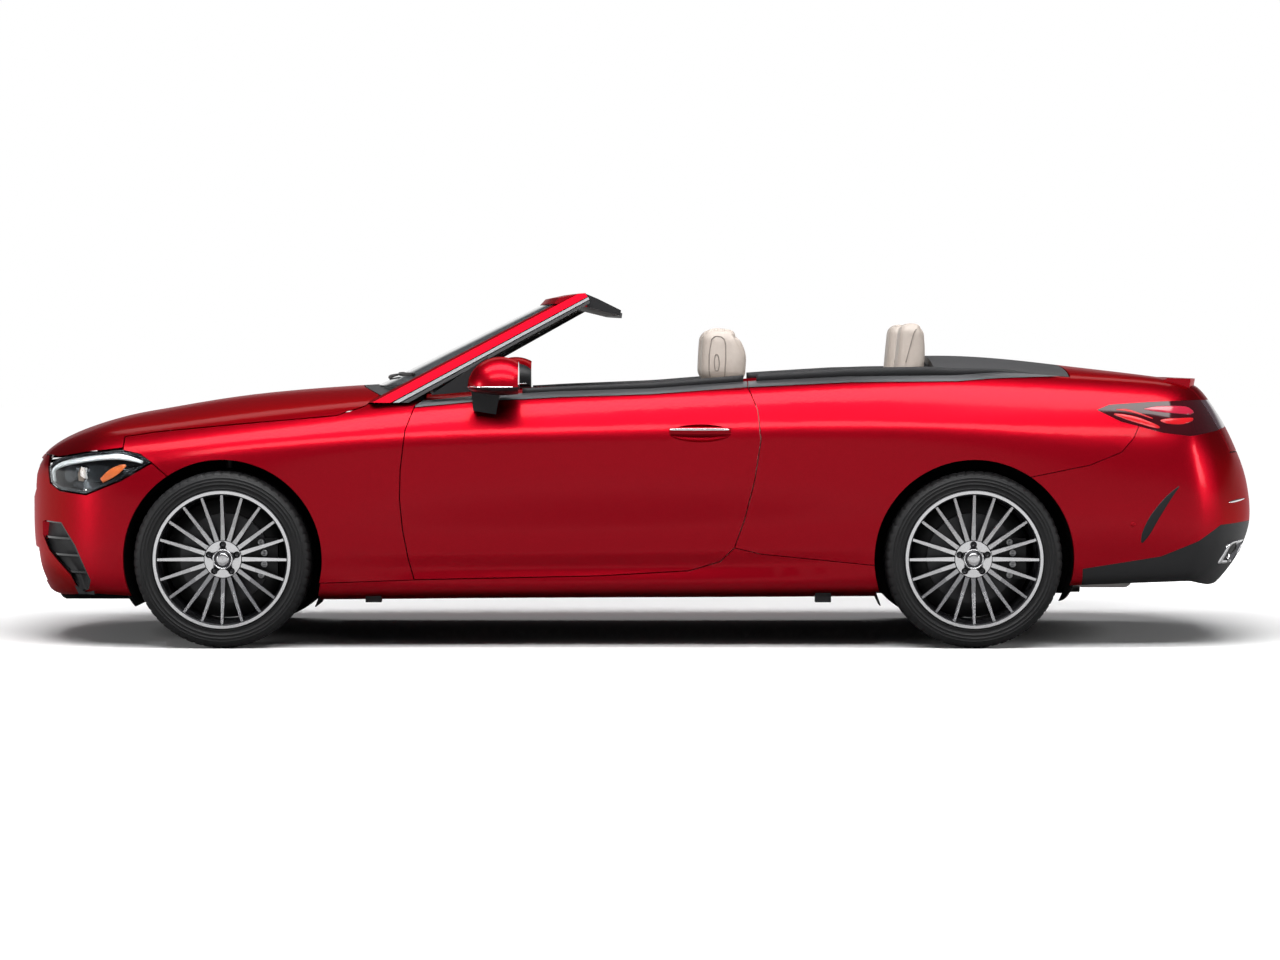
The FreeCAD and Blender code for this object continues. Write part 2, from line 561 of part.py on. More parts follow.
grille_opening = front_prism(GRILLE, nose - 50, nose + 260)
intake_opening = front_prism(INTAKE, nose - 50, nose + 260)
side_intake = side_prism(placed(SIDE_INTAKE, nose, door_front), -wide, -0.6 * half_width)
front_bumper = thin_skin.common(side_prism(bumper_outline, -wide, 0, seam)).cut(front_arch)
front_bumper = front_bumper.cut(grille_opening).cut(intake_opening).cut(side_intake)
add("front_bumper", whole(front_bumper))

bumper_room = side_prism(rear_bumper_outline, -wide, 0, seam)
bumper_room = bumper_room.cut(side_prism(placed(DIFFUSER, door_rear, tail), -2 * wide, 10))
bumper_room = bumper_room.cut(box(cover_rear, tail + 500, -lid_half - shut, 10, lid_foot - 2 * shut, sky))
rear_bumper = thin_skin.common(bumper_room).cut(rear_arch)
add("rear_bumper", whole(rear_bumper))
diffuser = skin(wall, wall).common(side_prism(placed(DIFFUSER, door_rear, tail), -wide, 0, clear))
diffuser = diffuser.cut(rear_arch)
tip_z0, tip_z1 = 0.285 * deck, 0.375 * deck
tip_y0, tip_y1 = 0.50 * half_width, 0.72 * half_width
tip_outline = [(-tip_y1, tip_z0 + 25), (-tip_y1 + 15, tip_z1), (-tip_y0, tip_z1), (-tip_y0 - 12, tip_z0)]
tip_opening = front_prism(tip_outline, tail - 400, tail + 50)
diffuser = diffuser.cut(tip_opening)
add("diffuser", whole(diffuser))

# Grille slats and the mesh bars of the intakes stand a little inside the skin.
left_half = box(nose - 100, tail + 100, -wide, 0, -100, sky)
slats = half_body(8, 8).cut(inside_skin).common(left_half)
slats = slats.common(front_prism(drawn_in(GRILLE, clear), nose - 50, nose + 260))
slat_count = 3
grille_z0, grille_z1 = 0.548 * deck, 0.672 * deck
pitch = (grille_z1 - grille_z0) / slat_count
bars = [slats.cut(front_prism(drawn_in(GRILLE, 16), nose - 50, nose + 260))]
for i in range(slat_count):
    z = grille_z0 + (i + 0.5) * pitch
    bars.append(slats.common(box(nose - 50, nose + 260, -half_width, 0, z - 7, z + 7)))
upper_grille = whole(fuse(bars))
frame = half_body(8, 8).cut(inside_skin).common(left_half)
frame = frame.common(front_prism(drawn_in(INTAKE, clear), nose - 50, nose + 260))
bars = [frame.cut(front_prism(drawn_in(INTAKE, 12), nose - 50, nose + 260))]
intake_z0, intake_z1 = 0.20 * deck, 0.345 * deck
for i in range(5):
    z = intake_z0 + (i + 0.5) * (intake_z1 - intake_z0) / 5
    bars.append(frame.common(box(nose - 50, nose + 260, -half_width, 0, z - 4, z + 4)))
lower_intake = whole(fuse(bars))
fin_body = half_body(10, 10).cut(half_body(70, 70))
fin_body = fin_body.common(side_prism(placed(SIDE_INTAKE, nose, door_front), -wide, -0.6 * half_width, clear))
back = fin_body.cut(half_body(10, 10).cut(half_body(52, 52)))
bars = [back, fin_body.cut(side_prism(placed(SIDE_INTAKE, nose, door_front), -wide, -0.5 * half_width, 6))]
for share in (0.27, 0.33, 0.39):
    bars.append(fin_body.common(box(nose, front_axle, -wide, 0, share * deck - 4, share * deck + 4)))
add("grilles", Part.Compound([upper_grille, lower_intake, both_sides(fuse(bars))]))

# Bonnet and boot lid shut above these; the lamps fill the openings beside them.
cover = thin_skin.common(cover_box).cut(box(cover_rear - shut, cover_rear + 10, -wide, 20, 0, sky))
cover = cover.common(box(cover_front + shut, cover_rear - shut, shut - size("cover_half"), 10, 0, sky))
add("roof_cover", whole(cover))
lid = thin_skin.common(box(cover_rear + shut, tail + 50, shut - lid_half, 10, lid_foot, sky))
lid_lamp_prism = side_prism(tail_lamp_outline, -wide, -0.66 * lid_half)
lid_lamp = lid.common(side_prism(tail_lamp_outline, -wide, -0.66 * lid_half - clear, clear))
lid = lid.cut(lid_lamp_prism)
lip_line = [(tail - 330, 0.955 * deck), (tail - 300, 0.9715 * deck), (tail - 213, 0.968 * deck),
            (tail - 219, 0.935 * deck), (tail - 205, 0.900 * deck), (tail - 250, 0.900 * deck)]
lip_sweep = 3 * half_width
lip_face = Part.Face(Part.makePolygon([Vector(x, 0, z) for x, z in lip_line + lip_line[:1]]))
lip = lip_face.revolve(Vector(tail - lip_sweep, 0, 0), Vector(0, 0, 1), -18)
lip = lip.cut(inside_skin).common(box(cover_rear + shut, tail + 50, shut - lid_half, 10, lid_foot, sky))
lid = lid.fuse(lip.cut(lid_lamp_prism))
add("boot_lid", whole(lid))
add("lid_lamps", both_sides(lid_lamp))
lamp = thin_skin.common(side_prism(tail_lamp_outline, -wide, -lid_half - shut, clear - seam))
add("tail_lamps", both_sides(lamp))

# Headlamps: a clear lens in the skin over a dished housing with two projectors.
lens_wall = 4
lens = outer.cut(half_body(lens_wall, lens_wall))
lens = lens.common(side_prism(headlamp_outline, -wide, -0.3 * half_width, seam))
add("headlamp_lenses", both_sides(lens))
housing = half_body(lens_wall + clear, lens_wall + clear).cut(half_body(92, 92))
housing = housing.common(side_prism(headlamp_outline, -wide, -0.3 * half_width, clear - 0.7 * seam))
dish = half_body(0, 0).cut(half_body(60, 60))
dish = dish.common(side_prism(headlamp_outline, -wide, -0.3 * half_width, seam + 9))
housing = housing.cut(dish)
for share, across in ((0.165, 0.80), (0.235, 0.87)):
    centre = Vector(nose + share * (door_front - nose), 0, 0.625 * deck)
    lamp_tube = rod(centre + Vector(-40, -across * half_width, 0), centre + Vector(160, -across * half_width, 0), 32)
    housing = housing.fuse(lamp_tube.common(half_body(26, 26)).cut(half_body(70, 70)))
add("headlamp_housings", both_sides(largest(housing)))

# Windscreen: glass bowed in plan, between two pillars and a header.
foot_z, top_z = size("screen_base_height"), size("screen_top_height")
rake = math.atan2(top_z - foot_z, size("screen_top") - size("screen_base"))
glass_run = size("glass_wall") / math.sin(rake)
top_bow = 0.6 * size("screen_bow")


def arc_band(corner_x, half, depth, z, run):
    # A thin band in plan between two arcs, the front one through the corners and bowed forward.
    def arc(shift):
        ends = Vector(corner_x + shift, -half, z), Vector(corner_x + shift, half, z)
        return Part.Arc(ends[0], Vector(corner_x + shift - depth, 0, z), ends[1]).toShape()
    front, back = arc(0.0), arc(run)
    first = Part.makeLine(front.Vertexes[-1].Point, back.Vertexes[-1].Point)
    last = Part.makeLine(front.Vertexes[0].Point, back.Vertexes[0].Point)
    return Part.Wire(Part.__sortEdges__([front, first, back, last]))


glass = Part.makeLoft([
    arc_band(size("screen_base"), size("screen_half_low"), size("screen_bow"), foot_z, glass_run),
    arc_band(size("screen_top"), size("screen_half_high"), top_bow, top_z, glass_run),
], True, True)


def pillar_section(x, z, inner, width, run):
    corners = [Vector(x, -inner, z), Vector(x + 0.25 * run, -inner - width, z), Vector(x + run, -inner - width, z),
               Vector(x + run, -inner, z)]
    return Part.makePolygon(corners + corners[:1])


run_low, run_high = size("pillar_run"), 0.8 * size("pillar_run")
drop = 0.06 * deck
slope = (size("screen_top") - size("screen_base")) / (top_z - foot_z)
spread = (size("screen_half_low") - size("screen_half_high")) / (top_z - foot_z)
rise = size("header_height")


def pillar_band(back_low, run_low, back_high, run_high):
    # A band of the pillar, from its foot in the cowl to its head in the header.
    band = Part.makeLoft([
        pillar_section(size("screen_base") - drop * slope + back_low, foot_z - drop,
                       size("screen_half_low") + drop * spread + clear, size("pillar_foot_width"), run_low),
        pillar_section(size("screen_top") + rise * slope + back_high, top_z + rise,
                       size("screen_half_high") - rise * spread + clear, size("pillar_top_width"), run_high),
    ], True, True)
    return band.cut(half_body(-clear, -clear))


# The header is a wedge in section, swept round the arc of the glass. Its points are back from and above the
# front corner of the header.
HEADER = [(0, 0), (0.08, 0.56), (0.33, 0.91), (0.44, 1.0), (0.64, 0.48), (0.98, -0.58), (0.97, -1.07),
          (0.48, -0.28), (0.11, 0)]
header_depth = size("header_depth")
header_half = size("screen_half_high") + size("pillar_top_width")
header_centre, header_radius = bow(size("screen_top"), header_half, top_bow)
header_line = [(size("screen_top") + back * header_depth, top_z + clear + up * rise) for back, up in HEADER]
section_points = [Vector(x - top_bow, 0, z) for x, z in header_line]
section_face = Part.Face(Part.makePolygon(section_points + section_points[:1]))
header_turn = math.degrees(math.asin((header_half - 8) / header_radius))
section_face.rotate(Vector(header_centre, 0, 0), Vector(0, 0, 1), -header_turn)
header = section_face.revolve(Vector(header_centre, 0, 0), Vector(0, 0, 1), 2 * header_turn)
below_header = side_prism([(nose, 0.5 * deck)] + header_line[:4] + [(header_line[3][0] + 16, top_z + 0.4 * rise),
                          (header_line[3][0] + 16, 0.5 * deck)], -wide, 0)
pillar = largest(pillar_band(0, run_low, 0, run_high).common(below_header))
screen_frame = fuse([header, pillar, pillar.mirror(Vector(0, 0, 0), Vector(0, 1, 0))])
add("windscreen_frame", screen_frame)
trim_run, seal_run = size("pillar_trim_run"), size("pillar_seal_run")
trim_low, trim_high = run_low + clear, run_high + clear
header_room = header.copy()
header_room.translate(Vector(0, 0, -clear))
header_room = header_room.fuse(header)
pillar_trim = pillar_band(trim_low, trim_run, trim_high, 0.8 * trim_run).common(below_header).cut(header_room)
add("pillar_trims", both_sides(largest(pillar_trim)))
seal_low, seal_high = trim_low + trim_run + clear, trim_high + 0.8 * trim_run + clear
pillar_seal = pillar_band(seal_low, seal_run, seal_high, 0.8 * seal_run).common(below_header).cut(header_room)
add("pillar_seals", both_sides(largest(pillar_seal)))
add("windscreen", glass.cut(both_sides(half_body(-clear, -clear))))

# Underbody: floor, tunnel, firewall, inner wings, boot floor and the bulkheads, in one welded shell.
floor_top = size("floor_top")
floor = floor_top - size("floor_wall")
firewall_x = size("firewall_x")
bulkhead_x = size("bulkhead_x")
tunnel_half, tunnel_top = size("tunnel_half"), size("tunnel_top")
sheet_wall = 12
tray_low = 0.155 * deck
engine_bay_front = nose + 185
post_x0 = door_front - 70
boot_half = 0.52 * half_width
well_floor = 0.58 * deck
well_end = cover_rear + 24
rear_panel_x = tail - 200
pieces = [
    box(firewall_x, bulkhead_x, -half_width, 0, floor, floor_top),
    box(firewall_x - size("firewall_wall"), firewall_x, -half_width, 0, floor, sky),
    box(post_x0, door_front - 2 * seam, -half_width, -0.8 * half_width, 0.255 * deck, 0.86 * deck),
    box(firewall_x, bulkhead_x, -tunnel_half, 0, floor, tunnel_top),
    box(bulkhead_x, bulkhead_x + size("bulkhead_wall"), -half_width, 0, floor, sky),
    box(engine_bay_front, firewall_x, -inner_wall, 0.04 * half_width - inner_wall, 0.30 * deck, 0.70 * deck),
    box(nose + 60, front_axle - 165, -inner_wall, 0.04 * half_width - inner_wall, tray_low, 0.31 * deck),
    box(front_axle + 165, firewall_x, -inner_wall, 0.04 * half_width - inner_wall, tray_low, 0.31 * deck),
    box(nose + 60, firewall_x, -inner_wall, 0, tray_low, tray_low + 0.5 * sheet_wall),
    box(engine_bay_front, engine_bay_front + 50, -0.59 * half_width, 0, 0.28 * deck, 0.53 * deck),
    box(nose, engine_bay_front + 50, -0.50 * half_width, -0.40 * half_width, 0.37 * deck, 0.50 * deck),
    box(engine_bay_front, engine_bay_front + 50, -0.44 * half_width, -0.40 * half_width, 0.50 * deck, sky),
    box(bulkhead_x, rear_panel_x, -boot_half - sheet_wall, 0, size("boot_floor") - sheet_wall, size("boot_floor")),
    box(bulkhead_x, well_end, -boot_half - sheet_wall, -boot_half, size("boot_floor") - sheet_wall,
        well_floor - sheet_wall),
    box(well_end, rear_panel_x, -boot_half - sheet_wall, -boot_half, size("boot_floor") - sheet_wall, 0.80 * deck),
    box(rear_panel_x, rear_panel_x + 20, -half_width, 0, size("boot_floor") - sheet_wall, 0.66 * deck),
    box(rear_panel_x, tail, -0.07 * half_width, 0, 0.64 * deck, 0.73 * deck),
]
pieces += [
    box(front_axle - 100, front_axle + 100, -0.72 * half_width, 0.04 * half_width - inner_wall,
        hub_height + size("house_radius") + 5, hub_height + size("house_radius") + 17),
    box(front_axle - 100, front_axle + 100, -inner_wall, 0.04 * half_width - inner_wall, 0.5 * deck,
        hub_height + size("house_radius") + 17),
    box(bulkhead_x, well_end, -0.66 * half_width, 0, well_floor - sheet_wall, well_floor),
    box(well_end - sheet_wall, well_end, -0.66 * half_width, 0, size("boot_floor"), sky),
]
house_wall = rod(Vector(rear_axle, -rear_inner_wall, hub_height), Vector(rear_axle, 8 - rear_inner_wall, hub_height),
                 size("house_radius") + 8)
house_wall = house_wall.common(box(rear_axle - 500, rear_axle + 500, -wide, 0, floor, sky))
pieces.append(house_wall.cut(box(rear_axle - 60, rear_axle + 60, -wide, 0, 0, hub_height + 130)))
frame = fuse(pieces)
frame = frame.cut(box(firewall_x - 100, bulkhead_x + 100, -tunnel_half + sheet_wall, 10, floor - 5,
                      tunnel_top - sheet_wall))
frame = frame.cut(box(engine_bay_front - 10, engine_bay_front + 90, -0.38 * half_width, 10, 0.32 * deck, 0.50 * deck))
inside_thick = half_body(size("side_wall") + clear, wall + clear)
thick_from, thick_to = firewall_x - size("firewall_wall"), rear_panel_x - 10
thick_zone = box(thick_from, thick_to, -wide, 1, -100, sky)
frame = frame.common(thick_zone).common(inside_thick).fuse(frame.cut(thick_zone).common(inside_thin))
tip_room = front_prism(drawn_in(tip_outline, -clear), tail - 400, tail + 50)
frame = frame.cut(tip_room)
frame = frame.cut(front_arch).cut(rear_arch)
add("underbody", whole(frame))

# Arch liners, thin shells inside the wings.

def arch_liner(axle_x, y0, y1):
    outside = rod(Vector(axle_x, y0, hub_height), Vector(axle_x, y1, hub_height), size("house_radius") - clear)
    liner = outside.cut(rod(Vector(axle_x, y0 - 1, hub_height), Vector(axle_x, y1 + 1, hub_height),
                            size("house_radius") - size("liner_wall")))
    liner = liner.common(inside_thin)
    return liner.common(box(axle_x - 500, axle_x + 500, -wide, 0, 0.45 * hub_height, sky))


strut_y = -track + size("steer_offset") + 137
strut_radius = 32
front_liner = arch_liner(front_axle, -0.975 * half_width, -inner_wall - clear)
front_liner = front_liner.cut(rod(Vector(front_axle, strut_y, hub_height), Vector(front_axle, strut_y, sky),
                                  strut_radius + 6))
rear_liner = arch_liner(rear_axle, -0.975 * half_width, -rear_inner_wall - clear)
add("arch_liners", both_sides(Part.Compound([front_liner, rear_liner])))

# Wheels. A wheel stands at its own centre with its outside at -Y, and turns about Y.

def turned(profile):
    # A profile of (radius, y) points turned about the Y axis.
    points = [Vector(radius, y, 0) for radius, y in profile]
    face = Part.Face(Part.makePolygon(points + points[:1]))
    return face.revolve(Vector(0, 0, 0), Vector(0, 1, 0), 360)


tyre_half = size("tyre_width") / 2
tyre_radius = size("tyre_radius")
rim_radius = size("rim_radius")
barrel = size("barrel_radius")
rim_half = tyre_half - 1
flange_wall = 7
seat_radius = rim_radius - 14
sidewall = tyre_radius - rim_radius
groove = 7
tread_half = 0.76 * tyre_half
tread = [(tyre_radius - 1.5, -tread_half)]
for share in (-0.55, -0.18, 0.18, 0.55):
    y = share * tyre_half
    tread += [(tyre_radius, y - 5), (tyre_radius - groove, y - 4), (tyre_radius - groove, y + 4), (tyre_radius, y + 5)]
tread.append((tyre_radius - 1.5, tread_half))
SHOULDER = [(0.97, 0.87), (0.88, 0.95), (0.72, 0.99), (0.50, 1.0), (0.28, 0.985), (0.10, 0.955)]
shoulder = [(rim_radius + up * sidewall, across * tyre_half) for up, across in SHOULDER]
bead_y = rim_half - flange_wall - clear
tyre_profile = ([(seat_radius + clear, -bead_y), (rim_radius + 3, -bead_y)]
                + [(radius, -y) for radius, y in shoulder[::-1]] + tread + shoulder
                + [(rim_radius + 3, bead_y), (seat_radius + clear, bead_y)])
tyre = turned(tyre_profile)

well_radius = barrel + 8
lip_radius = seat_radius - 5
rim_profile = [(barrel, -0.30 * rim_half), (lip_radius, -0.42 * rim_half), (lip_radius, -rim_half + 7),
               (seat_radius, -rim_half), (rim_radius - 3, -rim_half), (rim_radius, -rim_half + 3),
               (rim_radius, flange_wall - rim_half), (seat_radius, flange_wall - rim_half),
               (seat_radius, -0.42 * rim_half), (well_radius, -0.26 * rim_half), (well_radius, 0.5 * rim_half),
               (seat_radius, 0.65 * rim_half), (seat_radius, rim_half - flange_wall),
               (rim_radius, rim_half - flange_wall), (rim_radius, rim_half), (barrel, rim_half)]
rim_barrel = turned(rim_profile)
hub_radius = size("hub_radius")
hub_face = -0.62 * rim_half
disc_face = 2
disc_wall = 26
hub_end = disc_face + disc_wall + 8
bolt_circle = 56
hub = turned([(0, hub_face - 4), (34, hub_face - 4), (36, hub_face), (hub_radius - 6, hub_face),
              (hub_radius, hub_face + 8), (hub_radius, -18), (hub_radius - 14, disc_face), (0, disc_face)])
disc = turned([(0, disc_face), (size("disc_radius"), disc_face), (size("disc_radius"), disc_face + disc_wall),
               (hub_radius - 10, disc_face + disc_wall), (hub_radius - 10, hub_end), (0, hub_end)])
lugs = [rod(Vector(bolt_circle * math.cos(a), hub_face - 10, bolt_circle * math.sin(a)),
            Vector(bolt_circle * math.cos(a), hub_face + 34, bolt_circle * math.sin(a)), 13)
        for a in [math.radians(90 + 72 * i) for i in range(5)]]


def spoke(angle, root, root_half, tip_half):
    # A spoke that stands deep at the hub and thins to the barrel, seen from the front as a slim wedge.
    front_root, front_tip = hub_face + 6, -rim_half + 6
    tip = lip_radius + 2
    outline = [Vector(root, -tyre_half, -root_half), Vector(tip, -tyre_half, -tip_half),
               Vector(tip, -tyre_half, tip_half), Vector(root, -tyre_half, root_half)]
    plan = Part.Face(Part.makePolygon(outline + outline[:1])).extrude(Vector(0, tyre_half, 0))
    side = [Vector(root, front_root, -50), Vector(0.55 * barrel, front_root - 12, -50),
            Vector(tip, front_tip, -50), Vector(tip, front_tip + 26, -50),
            Vector(0.6 * barrel, front_root + 24, -50), Vector(root, front_root + 44, -50)]
    band = Part.Face(Part.makePolygon(side + side[:1])).extrude(Vector(0, 0, 100))
    blade = plan.common(band)
    blade.rotate(Vector(0, 0, 0), Vector(0, 1, 0), angle)
    return blade


spoke_count = int(size("spoke_count"))
blades = [spoke(i * 360 / spoke_count, 0.8 * hub_radius, 8.5, 4.8) for i in range(spoke_count)]
rim = refined(rim_barrel.fuse([hub, disc] + blades).cut(Part.Compound(lugs)))


def at_wheel(shape, x, left):
    # A wheel-side piece made round the wheel's centre for the left, moved to its axle and side.
    if not left:
        shape = shape.mirror(Vector(0, 0, 0), Vector(0, 1, 0))
    shape = shape.copy()
    shape.translate(Vector(x, -track if left else track, hub_height))
    return shape


CORNERS = [("front_left", front_axle, True), ("front_right", front_axle, False),
           ("rear_left", rear_axle, True), ("rear_right", rear_axle, False)]
for corner, axle_x, left in CORNERS:
    add("tyre_" + corner, at_wheel(tyre, axle_x, left))
    add("rim_" + corner, at_wheel(rim, axle_x, left))

# Knuckles and calipers. The front ones turn on pins in the arms, the rear ones are part of the axle.
steer = size("steer_offset")
pin_radius = 10
pin_clear = 0.5
knuckle_low, knuckle_high = -130, 165
knuckle_y0, knuckle_y1 = hub_end + pin_clear, steer + 22


def caliper(reach):
    block = box(100, reach, -26, knuckle_y1, -78, 78)
    block = block.common(rod(Vector(0, -30, 0), Vector(0, 200, 0), barrel - 12))
    slot = rod(Vector(0, disc_face - 2, 0), Vector(0, disc_face + disc_wall + 2, 0), size("disc_radius") + 4)
    return block.cut(slot)


def upright(low, high):
    post = box(-32, 32, knuckle_y0, knuckle_y1, low, high)
    boss = rod(Vector(0, knuckle_y0, 0), Vector(0, knuckle_y1, 0), hub_radius - 12)
    bridge = box(0, 120, knuckle_y0, knuckle_y1, -40, 40)
    return post.fuse([boss, bridge, caliper(205)])


knuckle = upright(knuckle_low, knuckle_high)
for low, high in ((knuckle_low - 1, knuckle_low + 22), (knuckle_high - 22, knuckle_high + 1)):
    knuckle = knuckle.cut(rod(Vector(0, steer, low), Vector(0, steer, high), pin_radius + pin_clear))
knuckle = refined(knuckle)
add("knuckle_left", at_wheel(knuckle, front_axle, True))
add("knuckle_right", at_wheel(knuckle, front_axle, False))

arm_wall = 24
eye_radius = 2.1 * pin_radius
inner_y = track - inner_wall - clear


def wishbone(z, half_base, pin_up):
    outline = [Vector(-half_base, inner_y, z), Vector(half_base, inner_y, z), Vector(eye_radius, steer, z),
               Vector(-eye_radius, steer, z)]
    arm = Part.Face(Part.makePolygon(outline + outline[:1])).extrude(Vector(0, 0, arm_wall))
    arm = arm.fuse(rod(Vector(0, steer, z), Vector(0, steer, z + arm_wall), eye_radius))
    pin_z = (z + arm_wall - 1, z + arm_wall + 18) if pin_up else (z - 18, z + 1)
    return arm.fuse(rod(Vector(0, steer, pin_z[0]), Vector(0, steer, pin_z[1]), pin_radius))


low_z = knuckle_low - pin_clear - arm_wall
high_z = knuckle_high + pin_clear
strut_top = size("house_radius") + 5 - clear
damper_y = strut_y + track
damper = rod(Vector(0, damper_y, low_z + 2), Vector(0, damper_y, strut_top), 0.55 * strut_radius)
springs = [Part.makeTorus(0.72 * strut_radius, 0.24 * strut_radius) for i in range(6)]
for i, ring in enumerate(springs):
    ring.translate(Vector(0, damper_y, high_z + arm_wall + 34 + 22 * i))
spring_seat = rod(Vector(0, damper_y, high_z + arm_wall + 14), Vector(0, damper_y, high_z + arm_wall + 22),
                  strut_radius)
upper_arm = wishbone(high_z, 110, False).cut(box(-44, 44, damper_y - 48, damper_y + 48, high_z - 1, 500))
subframe_top = low_z + arm_wall + 20
side_axle = wishbone(low_z, 150, True).fuse([upper_arm, damper, spring_seat] + springs)
side_axle = at_wheel(side_axle, front_axle, True)
bridge = box(front_axle - 150, front_axle + 150, -inner_wall - clear, 0, low_z + hub_height,
             subframe_top + hub_height)
posts = box(front_axle - 90, front_axle + 90, -inner_wall + 4, 0.035 * half_width - inner_wall,
            low_z + hub_height, 0.30 * deck - clear)
add("front_suspension", whole(side_axle.fuse([bridge, posts])))

rear_upright = upright(knuckle_low, 130)
rear_link_y = 0.48 * half_width
rear_arms = [
    box(-30, 30, knuckle_y1 - 2, track - rear_link_y, knuckle_low, knuckle_low + arm_wall),
    box(-25, 25, knuckle_y1 - 2, track - rear_link_y, 90, 110),
    rod(Vector(0, knuckle_y1 - 2, 0), Vector(0, track - 90, 0), 16),
]
rear_side = at_wheel(rear_upright.fuse(rear_arms), rear_axle, True)
bridge_top = size("boot_floor") - sheet_wall - clear
rear_bridge = box(rear_axle - 118, rear_axle + 118, -rear_link_y - 8, 0, hub_height - 90, bridge_top)
rear_bridge = rear_bridge.cut(box(rear_axle - 150, rear_axle + 150, 25 - rear_link_y, 1, hub_height - 200,
                                  bridge_top - 26))
link_post = box(rear_axle - 30, rear_axle + 30, -rear_link_y - 8, 25 - rear_link_y, hub_height + knuckle_low,
                bridge_top)
differential = rod(Vector(rear_axle, -120, hub_height - 12), Vector(rear_axle, 1, hub_height - 12), 95)
differential = differential.fuse(box(rear_axle - 122, rear_axle, -40, 1, hub_height - 60, hub_height + 20))
differential = differential.fuse(box(rear_axle - 40, rear_axle + 40, -60, 1, hub_height, bridge_top - 10))
differential = differential.common(box(rear_axle - 400, rear_axle + 400, -wide, 0, 0, sky))
add("rear_axle", whole(rear_side.fuse([rear_bridge, link_post, differential])))

# Dashboard, with the steering column and its hood.
dash_x = firewall_x + clear
DASH = [(0, 0.66), (0, 0.87), (0.15, 0.88), (0.35, 0.905), (0.62, 0.90), (0.90, 0.86), (0.96, 0.78), (0.86, 0.70),
        (0.72, 0.66), (0.62, 0.56), (0.25, 0.55)]
dash_depth = size("dash_depth")
dash_outline = [(dash_x + along * dash_depth, up * deck) for along, up in DASH]
dash_half = cabin_half - 0.5 * size("door_card_wall") - 1.6 * size("shut_gap")
dashboard = side_prism(dash_outline, -dash_half, dash_half)
wheel_tilt = math.radians(size("wheel_tilt"))
wheel_centre = Vector(firewall_x + size("steering_reach"), -size("seat_centre"), 0.765 * deck)
axis = Vector(-math.cos(wheel_tilt), 0, -math.sin(wheel_tilt))
column = rod(wheel_centre + axis * (30 + pin_clear), wheel_centre + axis * 300, 30)
instrument_hood = rod(Vector(dash_x + 0.60 * dash_depth, -size("seat_centre"), 0.83 * deck),
                      Vector(dash_x + 0.97 * dash_depth, -size("seat_centre"), 0.87 * deck), 0.0001 + 120)
instrument_hood = instrument_hood.common(box(-9000, 9000, -wide, 0, 0.80 * deck, 0.945 * deck))
add("dashboard", fuse([dashboard, column, instrument_hood]))

ring_radius = size("steering_radius")
ring = Part.makeTorus(ring_radius, size("steering_tube"))
boss = Part.makeCylinder(62, 34, Vector(0, 0, -30))
arms = [box(-ring_radius, ring_radius, -22, 22, -12, 2), box(-18, 18, -ring_radius, 0, -12, 2)]
steering_wheel = fuse([ring, boss] + arms)
turn = FreeCAD.Rotation(Vector(0, 0, 1), -axis)
steering_wheel.Placement = FreeCAD.Placement(wheel_centre, turn)
add("steering_wheel", steering_wheel)

# Centre console on the tunnel.
console_half = size("seat_centre") - size("seat_width") / 2 - 10
CONSOLE = [(0.20, 0.0), (0.20, 0.13), (0.32, 0.16), (0.45, 0.17), (0.47, 0.22), (0.80, 0.23), (0.82, 0.0)]
console_x0 = firewall_x + 0.75 * dash_depth
console_outline = [(console_x0 + (along - 0.20) * 1250, tunnel_top + clear + up * deck) for along, up in CONSOLE]
console = side_prism(console_outline, -console_half, console_half)
stack = side_prism([(dash_x + 0.45 * dash_depth, tunnel_top + clear), (dash_x + 0.45 * dash_depth, 0.545 * deck),
                    (dash_x + 0.75 * dash_depth, 0.545 * deck), (console_x0 + 2, tunnel_top + 0.13 * deck),
                    (console_x0 + 2, tunnel_top + clear)], -console_half, console_half)
add("console", fuse([console, stack]))


# Seats: plain closed forms of the cushions, on a base.

def cushion(length, width, height, radius):
    block = Part.makeBox(length, width, height, Vector(0, -width / 2, 0))
    return block.makeFillet(radius, block.Edges)


def leaned(shape, x, y, z, lean):
    shape = shape.copy()
    shape.Placement = FreeCAD.Placement(Vector(x, y, z), FreeCAD.Rotation(Vector(0, 1, 0), lean))
    return shape


def seat(y):
    top = size("cushion_top")
    front = size("seat_front")
    rear = front + size("cushion_length")
    pad = size("cushion_wall")
    lean = size("seat_recline")
    back = size("seat_back_height")
    width = size("seat_width")
    head_x = rear - 60 + back * math.sin(math.radians(lean))
    head_z = top - 40 + back * math.cos(math.radians(lean))
    return fuse([
        leaned(cushion(size("cushion_length"), width, pad, 45), front, y, top - pad, 4),
        leaned(cushion(size("seat_back_wall"), 0.96 * width, back, 42), rear - 60, y, top - 40, lean),
        leaned(cushion(1.36 * size("seat_back_wall"), 0.62 * width, 215, 48), head_x - 50, y, head_z - 22, 3),
        box(front + 60, rear - 20, y - 0.42 * width, y + 0.42 * width, floor_top + clear, top - pad + 10),
    ])


